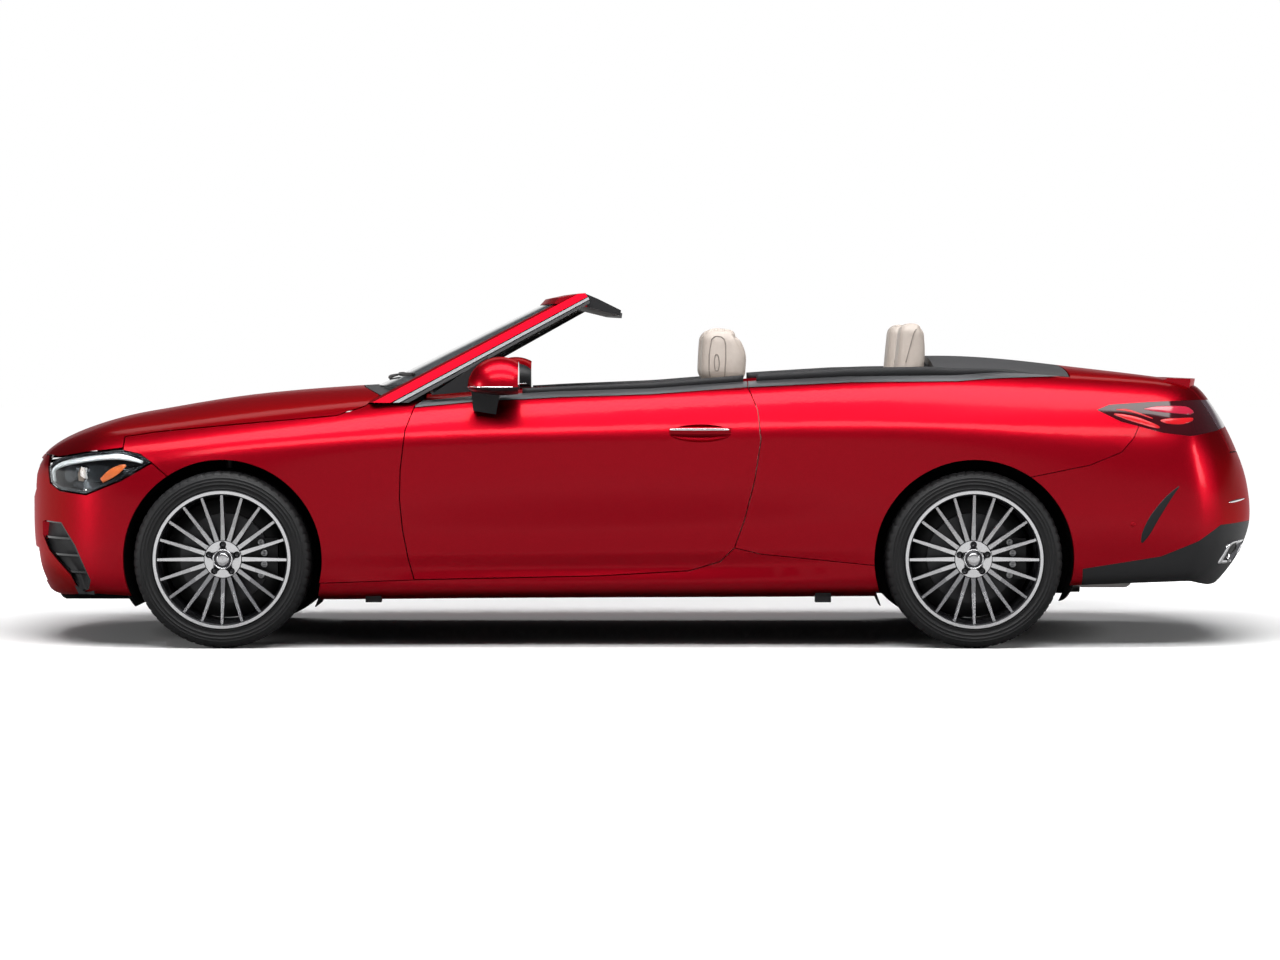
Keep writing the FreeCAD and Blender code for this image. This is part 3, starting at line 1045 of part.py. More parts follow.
add("front_seat_left", seat(-size("seat_centre")))
add("front_seat_right", seat(size("seat_centre")))
rear_lean = 14
bench_top = 0.45 * deck
bench_half = 0.64 * half_width
back_foot = bulkhead_x - 264
rear_parts = [
    leaned(cushion(480, 2 * bench_half, 118, 45), bulkhead_x - 570, 0, bench_top - 118, 4),
    leaned(cushion(110, 2 * bench_half, 600, 42), back_foot, 0, bench_top - 40, rear_lean),
    box(bulkhead_x - 540, bulkhead_x - 160, -0.9 * bench_half, 0.9 * bench_half, tunnel_top + clear,
        bench_top - 90),
]
for side in (-1, 1):
    rear_parts.append(leaned(cushion(102, 250, 240, 40), bulkhead_x - 116, side * 0.37 * half_width,
                             bench_top + 533, 3))
    rear_parts.append(box(bulkhead_x - 520, bulkhead_x - 180, side * 0.45 * half_width - 170,
                          side * 0.45 * half_width + 170, floor_top + clear, bench_top - 80))
rear_seats = fuse(rear_parts).cut(box(bulkhead_x - clear, bulkhead_x + 300, -wide, wide, 0, sky))
add("rear_seats", rear_seats)

# Linings beside the rear seats.
side_lining = side_prism([(door_rear + 25, 0.30 * deck), (bulkhead_x - clear, 0.32 * deck),
                          (bulkhead_x - clear, 0.955 * deck), (door_rear + 25, 0.93 * deck)],
                         -cabin_half + clear, -cabin_half + size("lining_wall"))
side_lining = side_lining.cut(rod(Vector(rear_axle, -wide, hub_height), Vector(rear_axle, 0, hub_height),
                                  size("house_radius") + clear))
add("side_linings", both_sides(largest(side_lining)))

# Soft top, folded into its well under the roof cover.
folds = []
fold_height = size("folded_roof_height") / 3
for i in range(3):
    fold = cushion(cover_rear - cover_front - 90 - 12 * i, 1.20 * half_width, fold_height, 0.3 * fold_height)
    fold.translate(Vector(cover_front + 60 + 6 * i, 0, well_floor + clear + 0.985 * fold_height * i))
    folds.append(fold)
add("folded_roof", fuse(folds).common(both_sides(half_body(wall + 6, wall + 6))))

# Engine and radiator.
engine_x = front_axle - 0.22 * size("engine_length")
engine_z = hub_height + subframe_top + clear
engine = box(engine_x, engine_x + size("engine_length"), -size("engine_width") / 2, size("engine_width") / 2,
             engine_z, engine_z + size("engine_height"))
add("engine", engine)
radiator = box(engine_bay_front + 50 + clear, engine_bay_front + 92, -0.42 * half_width, 0.42 * half_width,
               0.30 * deck, 0.53 * deck)
add("radiator", radiator)

# Exhaust: one pipe down the tunnel to a silencer across the tail, and a bright trim in each opening.
pipe_z = floor
silencer = box(rear_axle + 420, rear_axle + 640, -0.62 * half_width, 0.62 * half_width, floor + 20,
               size("boot_floor") - sheet_wall - clear)
pipe = rod(Vector(firewall_x + 60, 0, pipe_z), Vector(rear_axle + 500, 0, pipe_z), size("pipe_radius"))
silencer = silencer.makeFillet(30, [e for e in silencer.Edges if abs(e.tangentAt(e.FirstParameter).y) > 0.9])
add("exhaust", fuse([silencer, pipe]))
tip_outer = front_prism(drawn_in(tip_outline, clear), tail - 400, tail + 20)
tip_inner = front_prism(drawn_in(tip_outline, 6), tail - 500, tail + 100)
tip = tip_outer.cut(tip_inner).common(half_body(4, 4)).cut(half_body(70, 70))
add("exhaust_trims", both_sides(largest(tip)))


doc.recompute()
for thing in doc.Objects:
    if "Invalid" in thing.State or "Error" in thing.State:
        raise RuntimeError(thing.Label + " could not be computed")
for piece in parts:
    if piece.Shape.isNull() or not piece.Shape.isValid():
        raise RuntimeError(piece.Label + " has no valid shape")
os.makedirs("parts", exist_ok=True)
for piece in parts:
    piece.Shape.exportStep("parts/" + piece.Label + ".step")
    print(piece.Label, len(piece.Shape.Solids), round(piece.Shape.Volume / 1e6, 2))
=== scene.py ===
import json
import math

import bmesh
import bpy
import numpy as np
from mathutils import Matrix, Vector
from mathutils.bvhtree import BVHTree


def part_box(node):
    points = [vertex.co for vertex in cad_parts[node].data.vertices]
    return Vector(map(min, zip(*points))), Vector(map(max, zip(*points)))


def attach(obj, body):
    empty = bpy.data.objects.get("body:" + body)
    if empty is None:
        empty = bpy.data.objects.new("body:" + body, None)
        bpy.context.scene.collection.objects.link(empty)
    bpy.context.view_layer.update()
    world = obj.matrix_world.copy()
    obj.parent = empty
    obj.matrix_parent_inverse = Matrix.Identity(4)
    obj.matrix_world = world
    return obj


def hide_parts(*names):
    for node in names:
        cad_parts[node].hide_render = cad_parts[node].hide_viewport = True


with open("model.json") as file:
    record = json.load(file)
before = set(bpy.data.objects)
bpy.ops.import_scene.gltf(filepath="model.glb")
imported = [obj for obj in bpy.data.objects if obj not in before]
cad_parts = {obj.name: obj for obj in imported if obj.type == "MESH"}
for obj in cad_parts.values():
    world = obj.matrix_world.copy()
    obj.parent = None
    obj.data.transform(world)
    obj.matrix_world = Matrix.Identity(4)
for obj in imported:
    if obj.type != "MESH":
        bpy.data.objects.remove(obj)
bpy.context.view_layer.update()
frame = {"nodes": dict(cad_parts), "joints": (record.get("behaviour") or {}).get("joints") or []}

nodes = frame["nodes"]

# The camera stands level with the door, far off on the left side, as a product photographer places it. Its
# long lens keeps both wheels round, and it looks down by less than two degrees.
camera_distance = 15.93
camera_height = 1.111
camera_tilt = 1.783
camera_data = bpy.data.cameras.new("camera")
camera_data.sensor_width = 36
camera_data.lens = 111.1
camera_data.clip_end = 200
camera = bpy.data.objects.new("camera", camera_data)
camera.location = (0.0, -camera_distance, camera_height)
camera.rotation_euler = (math.radians(90 - camera_tilt), 0, 0)
bpy.context.scene.collection.objects.link(camera)
bpy.context.scene.camera = camera
bpy.context.scene.view_settings.view_transform = "Standard"

# The floor: one pale, matt sheet that runs to the horizon and keeps the car's shadow. It sheds little light
# on the car, and its own colour glows from where the lamps fade.
floor_reach = 70
floor_seen_tone = (0.80, 0.80, 0.80, 1)
floor_shed_tone = (0.22, 0.22, 0.22, 1)
glow_starts, glow_full = 2.3, 5.0


def new_material(name, colour, roughness, metallic=0.0):
    # A finish of one colour and gloss, and its shader, for what is added to it.
    material = bpy.data.materials.new(name)
    material.use_nodes = True
    shader = material.node_tree.nodes["Principled BSDF"]
    shader.inputs["Base Color"].default_value = (*colour, 1)
    shader.inputs["Roughness"].default_value = roughness
    shader.inputs["Metallic"].default_value = metallic
    return material, shader


def shader_node(tree, kind, sockets=None, **settings):
    # A node of a finish. A socket takes a number, or a wire where its value is another node's output.
    made = tree.nodes.new("ShaderNode" + kind)
    for setting, value in settings.items():
        setattr(made, setting, value)
    for socket, value in (sockets or {}).items():
        if isinstance(value, bpy.types.NodeSocket):
            tree.links.new(value, made.inputs[socket])
        else:
            made.inputs[socket].default_value = value
    return made


def seen_rays(tree):
    # 1 for what the camera, a mirror or a glass shows, and 0 for the light that a thing sheds on others.
    rays = shader_node(tree, "LightPath").outputs
    first = shader_node(tree, "Math", {0: rays["Is Camera Ray"], 1: rays["Is Glossy Ray"]},
                        operation="MAXIMUM")
    both = shader_node(tree, "Math", {0: first.outputs["Value"], 1: rays["Is Transmission Ray"]},
                       operation="MAXIMUM")
    return rays["Is Camera Ray"], both.outputs["Value"]


floor_paint, floor_shader = new_material("floor_paint", (0.80, 0.80, 0.80), 0.9)
floor_shader.inputs["Specular IOR Level"].default_value = 0.0
floor_shader.inputs["Emission Color"].default_value = (1, 1, 1, 1)
floor_tree = floor_paint.node_tree
floor_place = shader_node(floor_tree, "TexCoord")
away = shader_node(floor_tree, "VectorMath", {0: floor_place.outputs["Object"]}, operation="LENGTH")
fade = shader_node(floor_tree, "MapRange", {"Value": away.outputs["Value"], "From Min": glow_starts,
                                            "From Max": glow_full}, interpolation_type="SMOOTHSTEP")
by_camera, floor_seen = seen_rays(floor_tree)
glow = shader_node(floor_tree, "Math", {0: fade.outputs["Result"], 1: floor_seen}, operation="MULTIPLY")
floor_tone = shader_node(floor_tree, "Mix", {"Factor": by_camera, "A": floor_shed_tone, "B": floor_seen_tone},
                         data_type="RGBA")
floor_tree.links.new(glow.outputs["Value"], floor_shader.inputs["Emission Strength"])
floor_tree.links.new(floor_tone.outputs["Result"], floor_shader.inputs["Base Color"])
floor_mesh = bpy.data.meshes.new("floor")
floor_mesh.from_pydata([(-floor_reach, -floor_reach, 0), (floor_reach, -floor_reach, 0),
                        (floor_reach, floor_reach, 0), (-floor_reach, floor_reach, 0)], [], [(0, 1, 2, 3)])
floor_mesh.materials.append(floor_paint)
floor = bpy.data.objects.new("floor", floor_mesh)
bpy.context.scene.collection.objects.link(floor)

# The room: white low down all round and dark above, as in a studio with pale paper walls and a dark ceiling.
# It sheds little light itself, so that the lamps shape the body.
wall_top, ceiling_starts = 0.10, 0.15
ceiling_tone = (0.10, 0.10, 0.11, 1)
room_shed_tone = (0.07, 0.07, 0.075, 1)
world = bpy.data.worlds.new("room")
world.use_nodes = True
bpy.context.scene.world = world
room_tree = world.node_tree
background = room_tree.nodes["Background"]
direction = shader_node(room_tree, "TexCoord")
height = shader_node(room_tree, "SeparateXYZ", {0: direction.outputs["Generated"]})
wall = shader_node(room_tree, "ValToRGB", {"Fac": height.outputs["Z"]})
wall.color_ramp.elements[0].position = wall_top
wall.color_ramp.elements[0].color = (1, 1, 1, 1)
wall.color_ramp.elements[1].position = ceiling_starts
wall.color_ramp.elements[1].color = ceiling_tone
_, room_seen = seen_rays(room_tree)
room_tone = shader_node(room_tree, "Mix", {"Factor": room_seen, "A": room_shed_tone,
                                           "B": wall.outputs["Color"]}, data_type="RGBA")
room_tree.links.new(room_tone.outputs["Result"], background.inputs["Color"])
background.inputs["Strength"].default_value = 1.0

# The lamps: five soft boxes on stands. Two long ones over the near side draw the bright band along the
# shoulder, a weak one lights the far side, and two small ones pick out the nose and the tail.
lamps = [("overhead_box", (0, -1.5, 5.0), (7.5, 1.8), 460, (0, -0.6, 0)),
         ("left_box", (0, -4.6, 4.5), (7.5, 1.3), 340, (0, -0.6, 0.5)),
         ("right_box", (0, 4.0, 4.8), (7.5, 1.4), 90, (0, 0.4, 0.6)),
         ("nose_box", (-7.0, -2.8, 1.8), (1.4, 1.4), 110, (-2.2, -0.4, 0.5)),
         ("tail_box", (7.0, -2.8, 2.2), (1.4, 1.4), 110, (2.1, -0.4, 0.6))]
for name, place, spread, watts, target in lamps:
    light = bpy.data.lights.new(name, "AREA")
    light.shape = "RECTANGLE"
    light.size, light.size_y = spread
    light.energy = watts
    lamp = bpy.data.objects.new(name, light)
    lamp.location = place
    lamp.rotation_euler = (Vector(target) - Vector(place)).to_track_quat("-Z", "Y").to_euler()
    bpy.context.scene.collection.objects.link(lamp)

# Body panels: pressed steel and aluminium, bolted to the shell or hung on hinges. They are sprayed with a red
# metallic base, whose flakes differ a little in tint, under a clear coat.
flake_scale = 900
deep_flake = (0.25, 0.0012, 0.006, 1)
bright_flake = (0.35, 0.003, 0.012, 1)
paint, paint_shader = new_material("red_metallic", (0.47, 0.006, 0.017), 0.40, 1.0)
paint_tree = paint.node_tree
flake_place = shader_node(paint_tree, "TexCoord")
flakes = shader_node(paint_tree, "TexVoronoi", {"Vector": flake_place.outputs["Object"], "Scale": flake_scale})
flake_tint = shader_node(paint_tree, "Mix", {"Factor": flakes.outputs["Color"], "A": deep_flake,
                                             "B": bright_flake}, data_type="RGBA")
paint_tree.links.new(flake_tint.outputs["Result"], paint_shader.inputs["Base Color"])
paint_shader.inputs["Specular Tint"].default_value = (0.75, 0.16, 0.20, 1)
paint_shader.inputs["Coat Weight"].default_value = 0.12
paint_shader.inputs["Coat Roughness"].default_value = 0.12


def coat(names, *materials, pick=None):
    # Puts finishes on CAD pieces. Where there are several, pick gives the number of the one for each face.
    for name in names:
        data = nodes[name].data
        data.materials.clear()
        for material in materials:
            data.materials.append(material)
        if pick:
            picked = [pick(face.center, face.normal) for face in data.polygons]
            data.polygons.foreach_set("material_index", picked)


coat(["bonnet", "front_wings", "door_left", "door_right", "rear_quarters", "front_bumper", "rear_bumper",
      "boot_lid"], paint)


# Black plastics: moulded with a fine grain, for the cowl, the diffuser, the roof cover and the pads that a
# jack takes under the painted sills. The grilles are glossy, and felt lines the arches and the floor pan.
pad_places, pad_half = (-1.019, 0.700), 0.0305
pad_top, pad_outer = 0.216, 0.857


def speckled(name, colour, roughness, scale, depth, strength=0.3, metallic=0.0):
    # A fine moulded or cast grain, in relief and in gloss.
    material, shader = new_material(name, colour, roughness, metallic)
    shader.inputs["Specular IOR Level"].default_value = 0.22
    tree = material.node_tree
    place = shader_node(tree, "TexCoord")
    grain = shader_node(tree, "TexNoise", {"Vector": place.outputs["Object"], "Scale": scale, "Detail": 4})
    bump = shader_node(tree, "Bump", {"Height": grain.outputs["Fac"], "Strength": strength, "Distance": depth})
    gloss = shader_node(tree, "MapRange", {"Value": grain.outputs["Fac"], "To Min": roughness - 0.06,
                                           "To Max": roughness + 0.08})
    tree.links.new(bump.outputs["Normal"], shader.inputs["Normal"])
    tree.links.new(gloss.outputs["Result"], shader.inputs["Roughness"])
    return material


def sill_finish(centre, normal):
    beside = min(abs(centre.x - place) for place in pad_places)
    return int(beside < pad_half and centre.z < pad_top and abs(centre.y) < pad_outer)


black_plastic = speckled("grained_black_plastic", (0.014, 0.014, 0.015), 0.5, 500, 0.0006)
liner_felt = speckled("liner_felt", (0.006, 0.006, 0.006), 0.9, 220, 0.002)
gloss_black, _ = new_material("gloss_black", (0.008, 0.008, 0.009), 0.12)
coat(["cowl", "diffuser", "roof_cover"], black_plastic)
coat(["arch_liners", "underbody"], liner_felt)
coat(["grilles"], gloss_black)
coat(["sills"], paint, black_plastic, pick=sill_finish)

# Tyres: low-profile rubber, moulded with ribs on the sidewall and with tread blocks between grooves that run
# round and across. The beads sit tight on the rim.
tyre_low, tyre_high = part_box("tyre_front_left")
tyre_half = (tyre_high.y - tyre_low.y) / 2
tread_radius, tread_crown, tread_share = 0.3385, 0.0012, 0.74
groove_places, groove_depth, groove_share = (-0.53, -0.18, 0.18, 0.53), 0.0065, 0.024
blocks_round, block_cut, fine_cut = 60, 0.0045, 0.003
sidewall = [(0.2525, 0.931), (0.266, 0.932), (0.2672, 0.955), (0.2712, 0.962), (0.2722, 0.945), (0.28, 0.968),
            (0.2855, 0.978), (0.2862, 0.989), (0.2885, 0.991), (0.2893, 0.982), (0.2985, 0.9845),
            (0.2992, 0.995), (0.3012, 0.995), (0.302, 0.986), (0.31, 0.976), (0.3108, 0.984), (0.3125, 0.981),
            (0.3133, 0.97), (0.32, 0.948), (0.326, 0.915), (0.331, 0.868), (0.3345, 0.81), (0.3362, 0.76)]
outer_side = [(radius, -share * tyre_half) for radius, share in sidewall]
tread = [(tread_radius - tread_crown * (share / tread_share) ** 2, share * tyre_half)
         for share in np.linspace(-tread_share, tread_share, 75)]
tyre_profile = np.array(outer_side + tread + [(radius, -across) for radius, across in outer_side[::-1]])
turns = 360
angle = np.arange(turns)[:, None] * 2 * math.pi / turns
radius = np.tile(tyre_profile[:, 0], (turns, 1))
across = np.tile(tyre_profile[:, 1], (turns, 1))
share = np.abs(across) / tyre_half
cut = np.zeros_like(radius)
for groove_place in groove_places:
    off = np.abs(across / tyre_half - groove_place) / groove_share
    cut = np.maximum(cut, groove_depth * np.clip(1.6 - off, 0, 1))
pitch = (angle * blocks_round / (2 * math.pi) + 0.55 * across / tyre_half) % 1
on_shoulder = (share > 0.56) & (share < 0.955) & (radius > 0.322)
cut = np.maximum(cut, block_cut * ((np.abs(pitch - 0.5) < 0.09) & on_shoulder))
pitch = (angle * blocks_round / (2 * math.pi) - 0.8 * across / tyre_half) % 1
cut = np.maximum(cut, fine_cut * ((np.abs(pitch - 0.5) < 0.07) & (share < 0.50)))
radius = radius - cut * (radius > 0.32)
tyre_points = np.stack([radius * np.cos(angle), across, radius * np.sin(angle)], axis=2).reshape(-1, 3)


def net_faces(rows, columns, rows_meet=False, columns_meet=False):
    # The faces of a net of points, row after row. Its last row or column joins the first where they meet.
    last_row, last_column = rows - (not rows_meet), columns - (not columns_meet)
    return [(i * columns + j, i * columns + (j + 1) % columns,
             (i + 1) % rows * columns + (j + 1) % columns, (i + 1) % rows * columns + j)
            for i in range(last_row) for j in range(last_column)]


def add_mesh(name, points, faces, material, slot, body="car_body"):
    # A smooth piece with its faces turned outwards. It rides on a body of the car; its slot is not used.
    mesh = bpy.data.meshes.new(name)
    mesh.from_pydata(np.array(points, dtype=float).tolist(), [], faces)
    skin = bmesh.new()
    skin.from_mesh(mesh)
    bmesh.ops.recalc_face_normals(skin, faces=skin.faces)
    skin.to_mesh(mesh)
    skin.free()
    mesh.materials.append(material)
    mesh.polygons.foreach_set("use_smooth", [True] * len(mesh.polygons))
    made = bpy.data.objects.new(name, mesh)
    bpy.context.scene.collection.objects.link(made)
    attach(made, body)
    return made


rubber = speckled("tyre_rubber", (0.009, 0.009, 0.0095), 0.55, 900, 0.0004)
tyre_faces = net_faces(turns, len(tyre_profile), rows_meet=True)
hubs = {joint["child"]: Vector(joint["pos_m"]) for joint in frame["joints"] if joint.get("continuous")}
wheel_corners = (("front_left", 1), ("front_right", -1), ("rear_left", 1), ("rear_right", -1))
for corner, side in wheel_corners:
    wheel = "wheel_" + corner
    faces = tyre_faces if side > 0 else [face[::-1] for face in tyre_faces]
    tyre = add_mesh("rubber_tyre_" + corner, tyre_points * (1, side, 1) + np.array(hubs[wheel]), faces,
                    rubber, "tyre_rubber", wheel)
    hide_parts("tyre_" + corner)

# Wheels: cast alloy with dark painted pockets, whose spokes and rim edge are turned bright on a lathe. The
# brake disc behind the spokes is cast iron, ground on its faces. Both are bolted to the hub.
def lathe_turned(name, colour, roughness, hub):
    # Fine rings round the wheel's axle, as a lathe's tool leaves them.
    material, shader = new_material(name, colour, roughness, 1.0)
    tree = material.node_tree
    place = shader_node(tree, "TexCoord")
    centred = shader_node(tree, "Mapping", {"Vector": place.outputs["Object"], "Scale": (1, 0, 1),
                                            "Location": (-hub.x, 0, -hub.z)})
    out = shader_node(tree, "VectorMath", {0: centred.outputs["Vector"]}, operation="LENGTH")
    rings = shader_node(tree, "TexNoise", {"W": out.outputs["Value"], "Scale": 2500}, noise_dimensions="1D")
    bump = shader_node(tree, "Bump", {"Height": rings.outputs["Fac"], "Strength": 0.15, "Distance": 0.0002})
    tree.links.new(bump.outputs["Normal"], shader.inputs["Normal"])
    return material


def wheel_finish(hub, side):
    # 1 for the faces that are turned bright, 2 for the brake disc, and 0 for the painted pockets.
    def pick(centre, normal):
        outward = -side * normal.y
        proud = -side * (centre.y - hub.y)
        far = math.hypot(centre.x - hub.x, centre.z - hub.z)
        if disc_inner < far < disc_outer and disc_back < proud < disc_front:
            return 2
        on_spoke = outward > 0.88 and spoke_root < far < spoke_tip and proud > spoke_front
        return int(on_spoke or (outward > 0.9 and far > lip_radius and proud > lip_front))
    return pick


disc_inner, disc_outer = 0.050, 0.174
disc_back, disc_front = -0.036, 0.004
spoke_root, spoke_tip, spoke_front = 0.045, 0.243, 0.055
lip_radius, lip_front = 0.240, 0.100
pocket_paint = speckled("wheel_pocket_paint", (0.018, 0.018, 0.020), 0.32, 300, 0.0002, 0.15, 0.3)
for corner, side in wheel_corners:
    hub = hubs["wheel_" + corner]
    bright = lathe_turned("turned_alloy_" + corner, (0.62, 0.62, 0.63), 0.26, hub)
    disc = lathe_turned("ground_disc_" + corner, (0.05, 0.05, 0.052), 0.38, hub)
    coat(["rim_" + corner], pocket_paint, bright, disc, pick=wheel_finish(hub, side))

# Hub caps and wheel bolts: a bare cap of pressed metal clipped in the middle of each wheel, and five steel
# bolts with hexagonal heads, sunk round it.
hub_face = 0.0747
bolt_circle = 0.056
cap_silver, _ = new_material("cap_silver", (0.55, 0.55, 0.56), 0.25, 1.0)
cap_dark, _ = new_material("cap_dark", (0.05, 0.05, 0.055), 0.25, 0.6)
bolt_steel = speckled("bolt_steel", (0.10, 0.10, 0.105), 0.35, 400, 0.0002, 0.2, 1.0)
cap_ring = [(0.0385, 0.0020), (0.0385, 0.0085), (0.0370, 0.0105), (0.0340, 0.0105), (0.0325, 0.0080),
            (0.0320, 0.0040)]
cap_dish = [(0.0322, 0.0050), (0.0310, 0.0068), (0.0250, 0.0074), (0.0236, 0.0080)]
cap_dome = [(0.0238, 0.0066), (0.0234, 0.0090), (0.0200, 0.0104), (0.0120, 0.0112), (0.0004, 0.0115)]
bolt_head = [(0.0110, -0.0300), (0.0110, -0.0130), (0.0095, -0.0110), (0.0060, -0.0110), (0.0055, -0.0140),
             (0.0004, -0.0145)]


def turned_mesh(name, profile, centre, side, material, slot, body, segments=72):
    # A profile of (radius, proud) points turned about a line across the car, proud towards that side of it.
    radius, proud = np.array(profile).T
    turn = np.arange(segments)[:, None] * 2 * math.pi / segments
    points = np.stack([centre[0] + radius * np.cos(turn), np.tile(centre[1] - side * proud, (segments, 1)),
                       centre[2] + radius * np.sin(turn)], axis=2).reshape(-1, 3)
    return add_mesh(name, points, net_faces(segments, len(profile), rows_meet=True), material, slot, body)


for corner, side in wheel_corners:
    wheel = "wheel_" + corner
    hub = hubs[wheel]
    centre = (hub.x, hub.y - side * hub_face, hub.z)
    turned_mesh("cap_ring_" + corner, cap_ring, centre, side, cap_silver, "chrome_trim", wheel)
    turned_mesh("cap_dish_" + corner, cap_dish, centre, side, cap_dark, "black_gloss", wheel)
    turned_mesh("cap_dome_" + corner, cap_dome, centre, side, cap_silver, "chrome_trim", wheel)
    for number in range(5):
        turn = math.radians(90 + 72 * number)
        place = (hub.x + bolt_circle * math.cos(turn), centre[1], hub.z + bolt_circle * math.sin(turn))
        turned_mesh("wheel_bolt_%s_%d" % (corner, number), bolt_head, place, side, bolt_steel, "cast_metal",
                    wheel, segments=6)

# Brakes: cast calipers, painted dark, with four round piston caps turned from aluminium on the outer face.
# Behind each disc a dished shield of pressed steel is bolted to the upright. It is painted dark and reaches
# nearly to the rim, far past the disc, so that it also stands in as painted shade for the dark under the car
# seen through the lower wheel. Arms and axle are painted the same.
caliper_paint = speckled("caliper_paint", (0.02, 0.02, 0.021), 0.4, 350, 0.0003, 0.2)
piston_metal = speckled("piston_cap", (0.48, 0.48, 0.49), 0.35, 600, 0.0002, 0.15, 1.0)
coat(["knuckle_left", "knuckle_right", "front_suspension", "rear_axle"], caliper_paint)
piston_circle, piston_turns = 0.155, (-24, -8, 8, 24)
piston_cap = [(0.0130, 0.0255), (0.0130, 0.0285), (0.0115, 0.0300), (0.0060, 0.0300), (0.0050, 0.0285),
              (0.0004, 0.0285)]
# The shield reaches 0.229 m, near the wheel's barrel: a dark sheet as painted shade behind the lower spokes.
dust_shield_and_shade = [(0.062, -0.0375), (0.062, -0.0362), (0.150, -0.0362), (0.184, -0.0340), (0.227, -0.0440),
          (0.229, -0.0452), (0.227, -0.0455), (0.184, -0.0355), (0.150, -0.0375), (0.062, -0.0375)]
uprights = {"front_left": "left_knuckle", "front_right": "right_knuckle"}
for corner, side in wheel_corners:
    hub = hubs["wheel_" + corner]
    upright = uprights.get(corner, "car_body")
    for number, degrees in enumerate(piston_turns):
        turn = math.radians(degrees)
        place = (hub.x + piston_circle * math.cos(turn), hub.y, hub.z + piston_circle * math.sin(turn))
        turned_mesh("piston_cap_%s_%d" % (corner, number), piston_cap, place, side, piston_metal,
                    "cast_metal", upright, segments=28)
    # Each shield's dark paint stands in for the shade seen through the lower wheel: painted shade.
    turned_mesh("brake_shield_and_shade_" + corner, dust_shield_and_shade, hub, side, caliper_paint, "cast_metal", upright, segments=96)

# Belt line: a satin metal moulding runs along the doors and quarters, and along the windscreen posts. A
# rubber seal stands just inboard of it, pushed on to the flange of the panel.
belt_top, belt_foot = 1.09, 0.88
door_seal_heights = [(-0.452, 0.020), (0.418, 0.026)]
quarter_seal_heights = [(0.448, 0.028), (1.100, 0.036), (1.520, 0.004)]
seal_section = [(0.003, -0.006, 0), (0.006, -0.004, 1), (0.011, 0, 1), (0.017, -0.004, 1), (0.020, -0.006, 0)]
seal_rubber = speckled("seal_rubber", (0.010, 0.010, 0.011), 0.5, 700, 0.0003)
satin_metal = speckled("satin_metal", (0.13, 0.13, 0.135), 0.42, 900, 0.0001, 0.1, 1.0)
coat(["door_moulding_left", "door_moulding_right", "quarter_mouldings", "pillar_trims"], satin_metal)
coat(["pillar_seals"], seal_rubber)


def surface_of(*names):
    # The skin of CAD pieces, for laying other pieces on.
    points, faces = [], []
    for name in names:
        start = len(points)
        points += [vertex.co.copy() for vertex in nodes[name].data.vertices]
        faces += [[start + corner for corner in face.vertices] for face in nodes[name].data.polygons]
    return BVHTree.FromPolygons(points, faces)


def seen_from_left(surface, x, z):
    # The place and normal of the skin that a straight look across the car meets first.
    return surface.ray_cast(Vector((x, -2.0, z)), Vector((0, 1, 0)))[:2]


def solid_strip(rows):
    # The points and faces of a solid strip. Each of its long edges is a row of points, and both ends are
    # closed.
    stations, wide = len(rows[0]), len(rows)
    last = (stations - 1) * wide
    ends = [tuple(range(wide)), tuple(range(last, last + wide))]
    return np.stack(rows, axis=1).reshape(-1, 3), net_faces(stations, wide, columns_meet=True) + ends


def add_pair(name, points, faces, material, slot, body="car_body"):
    # A piece on the left of the car, and its mirror twin on the right.
    add_mesh(name + "_left", points, faces, material, slot, body)
    add_mesh(name + "_right", np.array(points) * (1, -1, 1), [face[::-1] for face in faces], material, slot,
             body.replace("left", "right"))


def standing_seal(name, trim, heights, count, body):
    # Stands on the top edge of the trim, as high as (x, height) pairs say. A point of its section is
    # (inboard, drop, share of the height).
    surface = surface_of(trim)
    line = []
    for x in np.linspace(heights[0][0], heights[-1][0], count):
        for z in np.arange(belt_top, belt_foot, -0.002):
            place, _ = seen_from_left(surface, x, z)
            if place is not None and place.y < 0:
                line.append((x, place.y, z))
                break
    line = np.array(line)
    for _ in range(4):
        line[1:-1, 1:] = (line[:-2, 1:] + line[1:-1, 1:] + line[2:, 1:]) / 3
    rise = np.interp(line[:, 0], *zip(*heights))
    rows = [line + np.stack([0 * rise, 0 * rise + inboard, share * rise + drop], axis=1)
            for inboard, drop, share in seal_section]
    add_pair(name, *solid_strip(rows), seal_rubber, "black_trim", body)


standing_seal("door_seal", "door_moulding_left", door_seal_heights, 44, "left_door")
standing_seal("quarter_seal", "quarter_mouldings", quarter_seal_heights, 70, "car_body")

# Door handles: cast bars, painted with the body and pinned in the door, with a strip of polished metal
# clipped along the face. Strips on the lamps and bumpers are laid on their skins in the same way.
handle_line = [(0.112, 0.8345, 0.006), (0.16, 0.8352, 0.008), (0.29, 0.8352, 0.008), (0.338, 0.8345, 0.006)]


def smooth_line(corners, count):
    # A Catmull-Rom line through the corners, in even steps along its first two columns.
    data = np.array([corners[0]] + list(corners) + [corners[-1]], dtype=float)
    line = []
    for k in range(len(data) - 3):
        a, b, c, d = data[k:k + 4]
        for t in np.linspace(0, 1, 24, endpoint=False):
            line.append(0.5 * (2 * b + (c - a) * t + (2 * a - 5 * b + 4 * c - d) * t ** 2
                               + (3 * b - 3 * c + d - a) * t ** 3))
    line = np.array(line + [data[-2]])
    steps = np.linalg.norm(np.diff(line[:, :2], axis=0), axis=1)
    run = np.concatenate([[0], np.cumsum(steps)])
    return np.stack([np.interp(np.linspace(0, run[-1], count), run, column) for column in line.T], axis=1)


